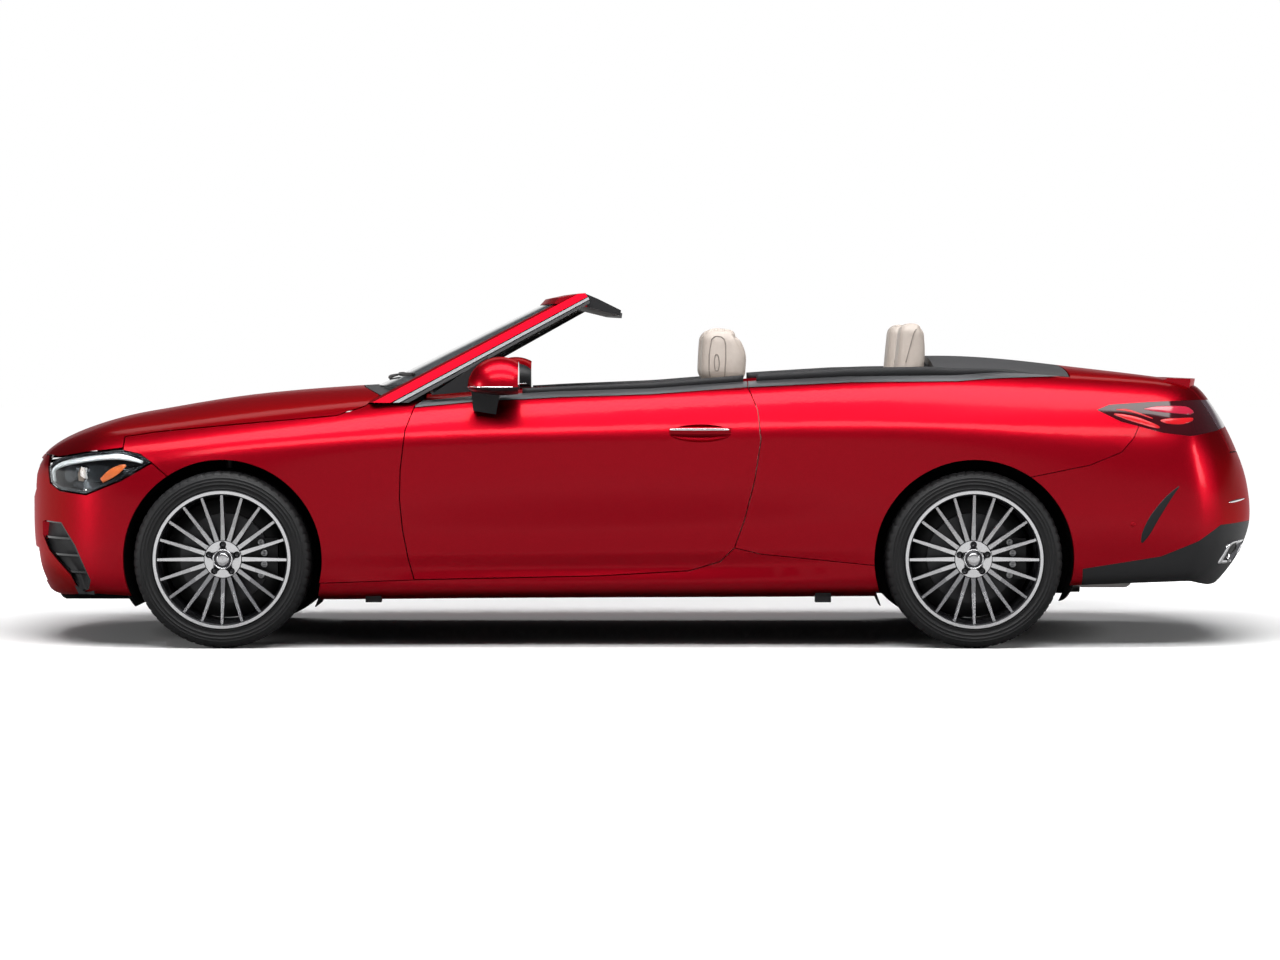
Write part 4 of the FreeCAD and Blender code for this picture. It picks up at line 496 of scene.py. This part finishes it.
def skin_strip(name, surface, corners, proud, depth, material, slot, body="car_body", count=60):
    # A strip whose middle runs through the (x, z, width) corners on the left of the car, and its twin. Its
    # face stands proud of the skin, or sunk in it, and its back lies that depth under the face.
    line = smooth_line(corners, count)
    places, normals = [], []
    for x, z, _ in line:
        place, normal = seen_from_left(surface, x, z)
        if place is None:
            place, normal, _, _ = surface.find_nearest(Vector((x, -0.9, z)))
        places.append(np.array(place))
        normals.append(np.array(normal) * (-1 if normal.y > 0 else 1))
    places, normals = np.array(places), np.array(normals)
    for _ in range(3):
        normals[1:-1] = (normals[:-2] + normals[1:-1] + normals[2:]) / 3
    normals /= np.linalg.norm(normals, axis=1)[:, None]
    along = np.gradient(places, axis=0)
    along /= np.linalg.norm(along, axis=1)[:, None]
    half = np.cross(normals, along) * line[:, 2:3] / 2
    back, shoulder = proud - depth, proud - 0.3 * min(depth, 0.004)
    section = [(-1, back), (-1, shoulder), (-0.8, proud), (0.8, proud), (1, shoulder), (1, back)]
    rows = [places + half * edge + normals * height for edge, height in section]
    add_pair(name, *solid_strip(rows), material, slot, body)


polished, _ = new_material("polished_metal", (0.75, 0.75, 0.76), 0.12, 1.0)
skin_strip("handle_strip", surface_of("door_left"), handle_line, 0.0006, 0.002, polished, "chrome_trim",
           "left_door")

# Door mirrors: a painted cap over a moulded black bowl and foot, which is screwed to the door. A silvered
# glass is set in the rear face, and a bright line is clipped round the waist.
mirror_waist = 0.99746
mirror_inner, glass_inner = 0.835, 0.840
waist_front, waist_middle = -0.530, 0.9076
waist_length, waist_width, waist_bead = 0.1275, 0.1135, 0.0028


def mirror_finish(centre, normal):
    if abs(centre.y) <= mirror_inner or centre.z < mirror_waist:
        return 1
    on_glass = normal.x > 0.98 and abs(centre.y) > glass_inner and centre.z > mirror_waist
    return 2 if on_glass else 0


mirror_black = speckled("mirror_black", (0.012, 0.012, 0.013), 0.35, 500, 0.0004)
silvered_glass, _ = new_material("silvered_glass", (0.45, 0.47, 0.48), 0.05, 1.0)
coat(["mirror_left", "mirror_right"], paint, mirror_black, silvered_glass, pick=mirror_finish)
bead_turns = np.linspace(math.radians(68), math.radians(292), 60)
for side, ending in ((-1, "left"), (1, "right")):
    waist = np.stack([waist_length * np.cos(bead_turns), side * waist_width * np.sin(bead_turns),
                      0 * bead_turns], axis=1)
    out = waist / np.linalg.norm(waist, axis=1)[:, None]
    waist += (waist_front, side * waist_middle, mirror_waist)
    rows = [waist + waist_bead * (math.cos(turn) * out + (0, 0, math.sin(turn)))
            for turn in np.arange(6) * math.pi / 3]
    add_mesh("mirror_waist_" + ending, np.stack(rows, axis=1).reshape(-1, 3),
             net_faces(len(waist), len(rows), columns_meet=True), polished, "chrome_trim", ending + "_door")

# Headlamps: a clear moulded lens, welded over a dark housing. Inside are a metallised light guide along the
# top and front edges, a bright line at the foot, a projector's tinted lens and an amber reflector.
lens_clear, lens_shader = new_material("lamp_lens", (0.95, 0.97, 0.98), 0.02)
lens_shader.inputs["Transmission Weight"].default_value = 1.0
lens_shader.inputs["IOR"].default_value = 1.25
housing_dark = speckled("lamp_housing", (0.045, 0.05, 0.055), 0.22, 300, 0.0003, 0.2, 0.7)
guide_white, guide_shader = new_material("light_guide", (0.80, 0.84, 0.84), 0.25)
guide_shader.inputs["Emission Color"].default_value = (0.85, 0.9, 0.9, 1)
guide_shader.inputs["Emission Strength"].default_value = 0.12
amber, _ = new_material("amber_reflector", (0.75, 0.16, 0.03), 0.3)
projector_glass, _ = new_material("projector_glass", (0.22, 0.16, 0.12), 0.05)
coat(["headlamp_lenses"], lens_clear)
coat(["headlamp_housings"], housing_dark)
lamp_skin = surface_of("headlamp_lenses")
guide = [(-2.272, 0.628, 0.010), (-2.276, 0.676, 0.014), (-2.232, 0.702, 0.018), (-2.160, 0.720, 0.021),
         (-2.080, 0.732, 0.022), (-2.010, 0.736, 0.022), (-1.955, 0.729, 0.018), (-1.900, 0.713, 0.010)]
foot_line = [(-2.235, 0.608, 0.005), (-2.160, 0.594, 0.007), (-2.125, 0.598, 0.007), (-2.080, 0.616, 0.004)]
marker = [(-2.060, 0.640, 0.020), (-2.020, 0.668, 0.034), (-1.985, 0.690, 0.024), (-1.965, 0.700, 0.008)]
projector = [(-2.150, 0.636, 0.026), (-2.148, 0.662, 0.036), (-2.146, 0.690, 0.020)]
skin_strip("light_guide", lamp_skin, guide, -0.0065, 0.010, guide_white, "lamp_clear")
skin_strip("lamp_foot_line", lamp_skin, foot_line, -0.0065, 0.006, polished, "chrome_trim")
skin_strip("amber_marker", lamp_skin, marker, -0.0075, 0.004, amber, "lamp_clear")
skin_strip("projector_tint", lamp_skin, projector, -0.012, 0.006, projector_glass, "lamp_house")

# Tail lamps: a smoked red moulding with bright bands of red and rose inside it, and a darker corner of the
# same lamp on the boot lid. Both are screwed on from behind.
band_proud, band_depth = 0.0006, 0.002
smoked_red, smoked_shader = new_material("smoked_red", (0.030, 0.003, 0.005), 0.06)
lamp_red, red_shader = new_material("lamp_red", (0.42, 0.008, 0.012), 0.16)
lamp_rose, _ = new_material("lamp_rose", (0.36, 0.012, 0.035), 0.12)
lamp_corner, corner_shader = new_material("lamp_corner", (0.075, 0.045, 0.055), 0.10)
red_shader.inputs["Emission Color"].default_value = (0.8, 0.01, 0.01, 1)
red_shader.inputs["Emission Strength"].default_value = 0.03
for shader in (smoked_shader, red_shader, corner_shader):
    shader.inputs["Specular IOR Level"].default_value = 0.25
coat(["tail_lamps"], smoked_red)
coat(["lid_lamps"], lamp_corner)
tail_skin = surface_of("tail_lamps")
tail_bands = {
    "lower": (lamp_red, [(1.812, 0.893, 0.006), (1.850, 0.884, 0.020), (1.900, 0.870, 0.026),
                         (1.965, 0.848, 0.018), (1.985, 0.842, 0.006)]),
    "middle": (lamp_red, [(1.990, 0.868, 0.006), (2.020, 0.866, 0.024), (2.070, 0.866, 0.028),
                          (2.110, 0.872, 0.016), (2.120, 0.876, 0.005)]),
    "upper": (lamp_rose, [(1.930, 0.912, 0.004), (1.975, 0.912, 0.024), (2.040, 0.910, 0.034),
                          (2.100, 0.906, 0.036), (2.125, 0.902, 0.010)]),
    "front": (lamp_red, [(1.822, 0.910, 0.004), (1.860, 0.908, 0.010), (1.905, 0.896, 0.008),
                         (1.960, 0.876, 0.004)])}
for place, (material, band) in tail_bands.items():
    skin_strip("tail_band_" + place, tail_skin, band, band_proud, band_depth, material, "lamp_red")

# Rear bumper: moulded plastic, painted with the body. On each side a black strip is laid along its recess as
# painted shade, where the recess falls dark; a short bright strip and a parking sensor are each clipped in
# from behind.
bumper_skin = surface_of("rear_bumper")
# The black strip in the recess is painted shade; these are its line and widths.
recess_shade_line = [(2.055, 0.618, 0.004), (2.010, 0.570, 0.022), (1.960, 0.500, 0.034), (1.928, 0.440, 0.030),
         (1.912, 0.404, 0.008)]
bright_strip = [(2.262, 0.553, 0.003), (2.280, 0.555, 0.009), (2.315, 0.559, 0.009), (2.345, 0.562, 0.003)]
sensor = [(1.868, 0.473, 0.004), (1.874, 0.473, 0.016), (1.882, 0.473, 0.016), (1.888, 0.473, 0.004)]
# A black strip along the recess, as painted shade.
skin_strip("scoop_recess_shade", bumper_skin, recess_shade_line, 0.0008, 0.002, seal_rubber, "black_trim")
skin_strip("tail_brightwork", bumper_skin, bright_strip, 0.002, 0.004, polished, "chrome_trim")
skin_strip("parking_sensor", bumper_skin, sensor, 0.001, 0.002, paint, "body_paint", count=24)

# Brake ducts: moulded black channels, clipped behind the side intakes of the front bumper. Each follows the
# outline of its intake, and its floor falls away from both sides.
nose_skin = surface_of("front_bumper")
duct_sides = [(0.200, -2.150, -2.092), (0.273, -2.191, -2.100), (0.330, -2.252, -2.128),
              (0.390, -2.306, -2.157), (0.466, -2.350, -2.215), (0.492, -2.352, -2.225)]
duct_rows, duct_columns = 24, 20
duct_heights, duct_starts, duct_ends = zip(*duct_sides)
duct_level, duct_overlap, duct_sunk, duct_fall = 0.54, 0.008, 0.040, 0.0022
duct_points = []
for z in np.linspace(duct_heights[-1], duct_heights[0], duct_rows):
    start = np.interp(z, duct_heights, duct_starts) - duct_overlap
    end = np.interp(z, duct_heights, duct_ends)
    for column, x in enumerate(np.linspace(start, end, duct_columns)):
        place, _ = seen_from_left(nose_skin, x, duct_level)
        skin_y = place.y if place is not None else -0.5
        fall = duct_fall * min(column, duct_columns - 1 - column)
        duct_points.append((x, skin_y + duct_sunk + fall, z))
add_pair("brake_duct", duct_points, net_faces(duct_rows, duct_columns), black_plastic, "black_trim")

# Windscreen: laminated glass, bonded in a frame that is painted with the body. The rear and underside of the
# header, and the inner faces of the posts, carry the black rubber on which the soft top closes.
screen_glass, glass_shader = new_material("screen_glass", (0.62, 0.68, 0.67), 0.01)
glass_shader.inputs["Transmission Weight"].default_value = 1.0
glass_shader.inputs["IOR"].default_value = 1.45
header_bow, header_half, header_back = 0.072, 0.608, -0.212
header_foot, header_under = 1.20, 1.26


def frame_finish(centre, normal):
    bow = header_bow * (1 - (centre.y / header_half) ** 2)
    behind = centre.x + bow > header_back and centre.z > header_foot
    under = normal.z < -0.2 and centre.z > header_under
    inside = abs(normal.y) > 0.5 and normal.y * centre.y < 0
    return int(behind or under or inside)


coat(["windscreen"], screen_glass)
coat(["windscreen_frame"], paint, seal_rubber, pick=frame_finish)

# Wipers: two arms of pressed steel, painted black and pressed on their spindles, with rubber blades. They are
# parked at the foot of the glass.
wiper_black = speckled("wiper_black", (0.012, 0.012, 0.012), 0.45, 400, 0.0004)
wiper_reach = {"driver": (-0.60, -0.06), "passenger": (0.02, 0.50)}
blade_up, blade_ahead, blade_radius = 0.045, 0.008, 0.006
arm_up, arm_drop, arm_ahead, arm_past = 0.042, 0.012, 0.018, 0.04
screen_skin = surface_of("windscreen")
screen_low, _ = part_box("windscreen")


def tube(name, path, radius, material, slot, body="car_body", sides=10):
    # A round rod along a path, of one radius or of one for each point.
    path = np.array(path, dtype=float)
    along = np.gradient(path, axis=0)
    along /= np.linalg.norm(along, axis=1)[:, None]
    level = np.cross(along, np.array([0, 0, 1.0]))
    level /= np.maximum(np.linalg.norm(level, axis=1), 1e-6)[:, None]
    up = np.cross(level, along)
    reach = np.broadcast_to(radius, (len(path),))[:, None]
    turns = np.arange(sides) * 2 * math.pi / sides
    rows = [path + reach * (math.cos(turn) * level + math.sin(turn) * up) for turn in turns]
    add_mesh(name, *solid_strip(rows), material, slot, body)


def on_glass(y, up, ahead):
    # A point this far ahead of the glass and above its lower edge.
    for lift in (up, up + 0.02, up + 0.04, up + 0.06):
        place, _, _, _ = screen_skin.ray_cast(Vector((-2.5, y, screen_low.z + lift)), Vector((1, 0, 0)))
        if place is not None:
            return (place.x - ahead, y, place.z)
    return (screen_low.x - ahead, y, screen_low.z + up)


for name, (start, end) in wiper_reach.items():
    blade = [on_glass(y, blade_up, blade_ahead) for y in np.linspace(start, end, 24)]
    arm_across = np.linspace((start + end) / 2, end + arm_past, 16)
    arm_heights = np.linspace(arm_up, arm_up - arm_drop, 16)
    arm = [on_glass(y, up, arm_ahead) for y, up in zip(arm_across, arm_heights)]
    tube("wiper_blade_" + name, blade, blade_radius, wiper_black, "black_trim")
    tube("wiper_arm_" + name, arm, np.linspace(0.0045, 0.009, 16), wiper_black, "black_trim")

# Exhaust trims: bright pressed steel, with a rolled bezel that is clipped round each outlet of the diffuser,
# and a dark mouth inside it.
outlet_corners = [(2.222, 0.318), (2.240, 0.352), (2.262, 0.388), (2.284, 0.402), (2.330, 0.404),
                  (2.352, 0.396), (2.356, 0.366), (2.340, 0.344), (2.306, 0.324), (2.262, 0.316)]
bezel_section = ((1.0, -0.006), (1.0, 0.003), (0.93, 0.006), (0.76, 0.005), (0.70, 0.001), (0.68, -0.004))
bezel_count, mouth_ring = 60, 4
chrome_trim, _ = new_material("exhaust_chrome", (0.62, 0.62, 0.63), 0.14, 1.0)
coat(["exhaust_trims"], chrome_trim)
tail_face = surface_of("diffuser", "rear_bumper")
middle_x, middle_z = np.mean(outlet_corners, axis=0)
outlet_line = smooth_line([(x, z, 0) for x, z in outlet_corners + outlet_corners[:1]], bezel_count + 1)
bezel = []
for share, proud in bezel_section:
    for x, z, _ in outlet_line[:bezel_count]:
        x, z = middle_x + share * (x - middle_x), middle_z + share * (z - middle_z)
        place, normal = seen_from_left(tail_face, x, z)
        if place is None:
            place, normal, _, _ = tail_face.find_nearest(Vector((x, -0.70, z)))
        bezel.append(place + (normal if normal.y < 0 else -normal) * proud)
bezel = np.array(bezel)
mouth = bezel.reshape(-1, bezel_count, 3)[mouth_ring]
add_pair("outlet_bezel", bezel, net_faces(len(bezel_section), bezel_count, columns_meet=True), chrome_trim,
         "chrome_trim")
add_pair("outlet_mouth", np.vstack([mouth, mouth.mean(axis=0)]),
         [(i, (i + 1) % bezel_count, bezel_count) for i in range(bezel_count)], liner_felt, "black_trim")

# Engine, radiator and exhaust pipe: cast and pressed metal, left bare. They are bolted under the bonnet and
# hung under the floor.
engine_cast = speckled("engine_casting", (0.16, 0.16, 0.165), 0.5, 90, 0.003, 0.5, 0.8)
pipe_steel = speckled("pipe_steel", (0.22, 0.21, 0.20), 0.4, 120, 0.001, 0.3, 1.0)
coat(["engine", "radiator"], engine_cast)
coat(["exhaust"], pipe_steel)

# Cabin: a dashboard, console and steering wheel in grained black plastic and leather, and linings covered in
# pale leather. They are clipped and screwed to the shell.
cabin_black = speckled("cabin_black", (0.018, 0.017, 0.017), 0.55, 450, 0.0006)


def leather(name, colour, roughness):
    # Pebbled hide: small rounded cells with finer wrinkles between them, and a slightly uneven dye.
    material, shader = new_material(name, colour, roughness)
    tree = material.node_tree
    place = shader_node(tree, "TexCoord").outputs["Object"]
    cells = shader_node(tree, "TexVoronoi", {"Vector": place, "Scale": 420})
    wrinkles = shader_node(tree, "TexNoise", {"Vector": place, "Scale": 60, "Detail": 6}).outputs["Fac"]
    relief = shader_node(tree, "Math", {0: cells.outputs["Distance"], 1: wrinkles}, operation="ADD")
    bump = shader_node(tree, "Bump", {"Height": relief.outputs["Value"], "Strength": 0.35, "Distance": 0.0008})
    dye = shader_node(tree, "MapRange", {"Value": wrinkles, "To Min": 0.90, "To Max": 1.08})
    shade = shader_node(tree, "VectorMath", {0: colour, "Scale": dye.outputs["Result"]}, operation="SCALE")
    tree.links.new(bump.outputs["Normal"], shader.inputs["Normal"])
    tree.links.new(shade.outputs["Vector"], shader.inputs["Base Color"])
    return material


hide = leather("pale_hide", (0.34, 0.295, 0.26), 0.5)
coat(["dashboard", "console", "steering_wheel"], cabin_black)
coat(["door_lining_left", "door_lining_right", "side_linings"], hide)

# Front seats: foam under pale leather, on a black plastic plinth that is bolted to the floor. The covers are
# sewn in panels with pressed channels: each cushion is a closed crowned form whose sides pull in between its
# corners, its seams are sunk, and the head restraints are piped.
seat_y, piping_y = 0.365, 0.150
seat_lean, cushion_lean = 17, 4
cushion_channels = [-0.10, 0.02, 0.12]
back_channels = [-0.14, -0.05, 0.04, 0.13]
back_height = 0.600
plinth_top, plinth_corner = 0.392, 0.022
seam_thread = leather("seam_thread", (0.16, 0.135, 0.118), 0.6)


def ticks(half, step, seams):
    # Lattice lines from one side to the other, with finer ones beside each seam.
    lines = set(np.round(np.linspace(-half, half, max(4, int(2 * half / step))), 5))
    for seam in seams:
        lines = {line for line in lines if abs(line - seam) > 0.0095}
        lines |= {round(seam + offset, 5) for offset in (-0.009, -0.005, -0.0025, 0.0, 0.0025, 0.005, 0.009)}
    ordered = np.array(sorted(line for line in lines if -half <= line <= half))
    ordered[0], ordered[-1] = -half, half
    return ordered


def box_lattice(axes):
    # The points and faces of a box's six sides, cut along the lines of each axis.
    count = [len(lines) for lines in axes]
    seen, faces = {}, []
    for flat in range(3):
        u, v = (flat + 1) % 3, (flat + 2) % 3
        for end in (0, count[flat] - 1):
            for a in range(count[u] - 1):
                for b in range(count[v] - 1):
                    ring = []
                    for da, db in ((0, 0), (1, 0), (1, 1), (0, 1)):
                        index = [0, 0, 0]
                        index[flat], index[u], index[v] = end, a + da, b + db
                        ring.append(seen.setdefault(tuple(index), len(seen)))
                    faces.append(tuple(ring if end else ring[::-1]))
    return np.array([[axes[k][index[k]] for k in range(3)] for index in seen]), faces


def soft_block(name, size, corner, seams, form, place, lean, material=hide, step=0.01,
               slot="seat_leather"):
    # A block of this size with rounded edges. Lattice lines lie along its seams (x, y, z), and form moves the
    # points of the cover. The block then leans back about its foot and goes to its place.
    half = np.array(size) / 2
    lattice, faces = box_lattice([ticks(half[k], step, seams[k]) for k in range(3)])
    core = np.clip(lattice, -(half - corner), half - corner)
    normal = (lattice - core) / corner
    normal /= np.linalg.norm(normal, axis=1)[:, None]
    cover = form(core + corner * normal, normal, lattice / half) + (half[0], 0, half[2])
    turn = math.radians(lean)
    turned = np.stack([cover[:, 0] * math.cos(turn) + cover[:, 2] * math.sin(turn), cover[:, 1],
                       -cover[:, 0] * math.sin(turn) + cover[:, 2] * math.cos(turn)], axis=1)
    made = add_mesh(name, turned + np.array(place), faces, material, slot)
    return made


def sunk_seam(distance, width=0.0032, depth=0.0055):
    return -depth * np.exp(-(distance / width) ** 2)


def eased(value, start, end):
    t = np.clip((value - start) / (end - start), 0, 1)
    return t * t * (3 - 2 * t)


def sewn_panels(y, run, panels, channels, bolster_rise, bolster_width):
    # How far the cover stands up: bolsters beside each panel (middle, half width), a seam along each edge of
    # it, and channels across it.
    lift = np.zeros(len(y))
    for middle, half_width in panels:
        off = np.abs(y - middle)
        lift += bolster_rise * eased(off, half_width, half_width + bolster_width) * (off < half_width + 0.09)
        lift += sunk_seam(off - half_width)
        inside = 1 - eased(off, half_width - 0.012, half_width - 0.002)
        for channel in channels:
            lift += inside * sunk_seam(run - channel, 0.005, 0.007)
    return lift


def cushion_form(panels, divides=()):
    # The long form that one sits on, crowned on top. Its panels may be sewn together along a divide.
    def form(cover, normal, unit):
        up = np.clip(normal[:, 2], 0, 1)
        lift = -0.010 + 0.009 * (1 - unit[:, 0] ** 2) * (1 - unit[:, 1] ** 2)
        lift += sewn_panels(cover[:, 1], cover[:, 0], panels, cushion_channels, 0.010, 0.03)
        for divide in divides:
            lift += sunk_seam(cover[:, 1] - divide)
        side = 1 - np.abs(normal[:, 2])
        draw = -0.007 * side * (1 - np.abs(unit[:, 0] * unit[:, 1])) * (1 - unit[:, 2] ** 2)
        return cover + normal * (up * lift + draw)[:, None]
    return form


def back_form(panels, taper):
    # The upright form: the front face carries the seams, and the shoulders narrow towards the top.
    def form(cover, normal, unit):
        ahead = np.clip(-normal[:, 0], 0, 1)
        lift = -0.010 + 0.008 * (1 - unit[:, 1] ** 2) * (1 - unit[:, 2] ** 2)
        lift += sewn_panels(cover[:, 1], cover[:, 2], panels, back_channels, 0.011, 0.035)
        draw = -0.006 * (1 - np.abs(normal[:, 0])) * (1 - unit[:, 0] ** 2)
        rear_seam = sunk_seam(np.abs(cover[:, 1]) - 0.9 * np.abs(cover[:, 1]).max(), 0.004, 0.003)
        rear = np.clip(normal[:, 0], 0, 1) * rear_seam
        out = cover + normal * (ahead * lift + draw + rear)[:, None]
        out[:, 1] *= 1 - taper * eased(cover[:, 2] + back_height / 2, 0.45 * back_height, back_height)
        return out
    return form


def head_form(slope, narrow, seam):
    # A head restraint: upright in front, falling away behind, narrower at the top, with a seam down each
    # side.
    def form(cover, normal, unit):
        rise = (unit[:, 2] + 1) / 2
        sunk = sunk_seam(np.abs(cover[:, 1]) - seam, 0.0032, 0.0035) * (1 - np.abs(normal[:, 1]))
        crown = 0.003 * (1 - unit[:, 1] ** 2) * (1 - unit[:, 2] ** 2)
        out = cover + normal * sunk[:, None]
        rearward = np.clip((unit[:, 0] + 0.2) / 1.2, 0, 1)
        out[:, 0] -= slope * rearward * eased(rise, 0.45, 1.0)
        out[:, 2] -= 0.45 * slope * rearward ** 2 * eased(rise, 0.6, 1.0)
        out[:, 1] *= 1 - narrow * eased(rise, 0.2, 1.0)
        return out + normal * crown[:, None]
    return form


def plinth_form(cover, normal, unit):
    # Straight sides that draw in a little towards the foot.
    narrow = 1 - 0.06 * (1 - unit[:, 2]) / 2
    return cover * np.stack([narrow, narrow, np.ones(len(cover))], axis=1)


def piping(name, base, corners, y, radius):
    # A piped seam on a cushion: a smooth line through (x, z) corners at y, drawn to the nearest of the cover.
    cover = BVHTree.FromPolygons([vertex.co.copy() for vertex in base.data.vertices],
                                 [tuple(face.vertices) for face in base.data.polygons])
    laid = []
    for x, z, _ in smooth_line([(x, z, 0) for x, z in corners], 60):
        place, normal, _, _ = cover.find_nearest(Vector((x, y, z)))
        laid.append(place + normal * 0.3 * radius)
    tube(name, laid, radius, seam_thread, "seat_leather", sides=8)


cushion_panel, back_panel, head_edge = 0.155, 0.150, 0.120
head_seam = [(0.272, 1.030), (0.268, 1.120), (0.276, 1.180), (0.302, 1.200), (0.330, 1.180), (0.334, 1.120),
             (0.330, 1.030)]
head_slot = [(0.294, 1.060), (0.290, 1.090), (0.294, 1.118), (0.304, 1.118), (0.309, 1.090), (0.305, 1.060),
             (0.294, 1.058)]
for side, ending in ((-1, "left"), (1, "right")):
    middle = side * seat_y
    seat_low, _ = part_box("front_seat_" + ending)
    cushion = soft_block("front_cushion_" + ending, (0.500, 0.500, 0.130), 0.045,
                         (cushion_channels, [-cushion_panel, cushion_panel], []),
                         cushion_form([(0.0, cushion_panel)]), (-0.330, middle, 0.370), cushion_lean)
    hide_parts("front_seat_" + ending)
    soft_block("front_back_" + ending, (0.120, 0.480, back_height), 0.042,
               ([], [-back_panel, back_panel], back_channels), back_form([(0.0, back_panel)], 0.16),
               (0.110, middle, 0.460), seat_lean)
    head = soft_block("front_head_" + ending, (0.172, 0.310, 0.215), 0.050, ([], [-head_edge, head_edge], []),
                      head_form(0.030, 0.12, head_edge), (0.2365, middle, 1.012), 3)
    for edge in (-1, 1):
        edge_y = middle + edge * piping_y
        piping("head_seam_%s_%d" % (ending, edge + 1), head, head_seam, edge_y, 0.0021)
        piping("head_slot_%s_%d" % (ending, edge + 1), head, head_slot, edge_y, 0.0018)
    soft_block("seat_plinth_" + ending, (0.410, 0.410, plinth_top - seat_low.z), plinth_corner, ([], [], []),
               plinth_form, (-0.268, middle, seat_low.z), 0, cabin_black, 0.03, "cabin_plastic")

# Rear seats: one bench and back of foam and pale leather, sewn for two people with a divide between them.
# They stand on two black plastic plinths, and two head restraints are pushed in on top.
bench_seams = [-0.455, -0.215, 0.0, 0.215, 0.455]
bench_panels = [(-0.335, 0.120), (0.335, 0.120)]
rear_head_y, rear_head_edge, rear_piping_y, bench_plinth_y = 0.344, 0.098, 0.122, 0.418
bench_plinth_top = 0.372
rear_head_seam = [(1.040, 1.090), (1.056, 1.150), (1.072, 1.205), (1.084, 1.228)]
bench_low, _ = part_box("rear_seats")
bench = soft_block("rear_bench", (0.480, 1.190, 0.118), 0.045, (cushion_channels, bench_seams, []),
                   cushion_form(bench_panels, (0.0,)), (0.550, 0, 0.359), cushion_lean, step=0.013)
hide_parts("rear_seats")
soft_block("rear_back", (0.108, 1.190, back_height), 0.042, ([], bench_seams, back_channels),
           back_form(bench_panels, 0.04), (0.857, 0, 0.437), 14, step=0.013)
for side, ending in ((-1, "left"), (1, "right")):
    middle = side * rear_head_y
    head = soft_block("rear_head_" + ending, (0.102, 0.250, 0.238), 0.040,
                      ([], [-rear_head_edge, rear_head_edge], []), head_form(0.012, 0.10, rear_head_edge),
                      (1.004, middle, 1.010), 5)
    for edge in (-1, 1):
        piping("rear_head_seam_%s_%d" % (ending, edge + 1), head, rear_head_seam,
               middle + edge * rear_piping_y, 0.0021)
    soft_block("bench_plinth_" + ending, (0.340, 0.330, bench_plinth_top - bench_low.z), plinth_corner,
               ([], [], []), lambda cover, normal, unit: cover, (0.605, side * bench_plinth_y, bench_low.z),
               0, cabin_black, 0.03, "cabin_plastic")

# Folded roof: one sheet of hood cloth, laid back and forth in three folds in its well, where it rests on the
# floor pan. Each run is a little shorter than the one below it.
folds, run_points, turn_points, cloth_columns = 3, 36, 12, 40
side_gap, end_gap, foot_gap, head_gap, run_shortens = 0.06, 0.10, 0.02, 0.03, 0.02
ripple, cloth_sag = 0.006, 0.010
well_low, well_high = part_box("folded_roof")
fold_step = (well_high.z - well_low.z - foot_gap - head_gap) / folds
ribbon = []
for layer in range(folds + 1):
    way = 1 if layer % 2 == 0 else -1
    z = well_low.z + foot_gap + fold_step * layer
    run = np.linspace(well_low.x + end_gap, well_high.x - end_gap - run_shortens * layer, run_points)[::way]
    ribbon += [(x, z + ripple * math.sin(9 * x + layer)) for x in run]
    if layer < folds:
        half = fold_step / 2
        ribbon += [(run[-1] + way * half * math.cos(turn), z + half * (1 + math.sin(turn)))
                   for turn in np.linspace(-1.4, 1.4, turn_points)]
ribbon = np.array(ribbon)
cloth_half = (well_high.y - well_low.y) / 2 - side_gap
across = np.linspace(-cloth_half, cloth_half, cloth_columns)
drop = cloth_sag * (np.cos(across / cloth_half * math.pi / 2) - 1)
cloth_points = [(x, y, z + fall) for x, z in ribbon for y, fall in zip(across, drop)]
hood_canvas = speckled("hood_canvas", (0.013, 0.013, 0.014), 0.85, 650, 0.0008, 0.5)
hood = add_mesh("hood_cloth", cloth_points, net_faces(len(ribbon), cloth_columns), hood_canvas, "roof_fabric")
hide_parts("folded_roof")
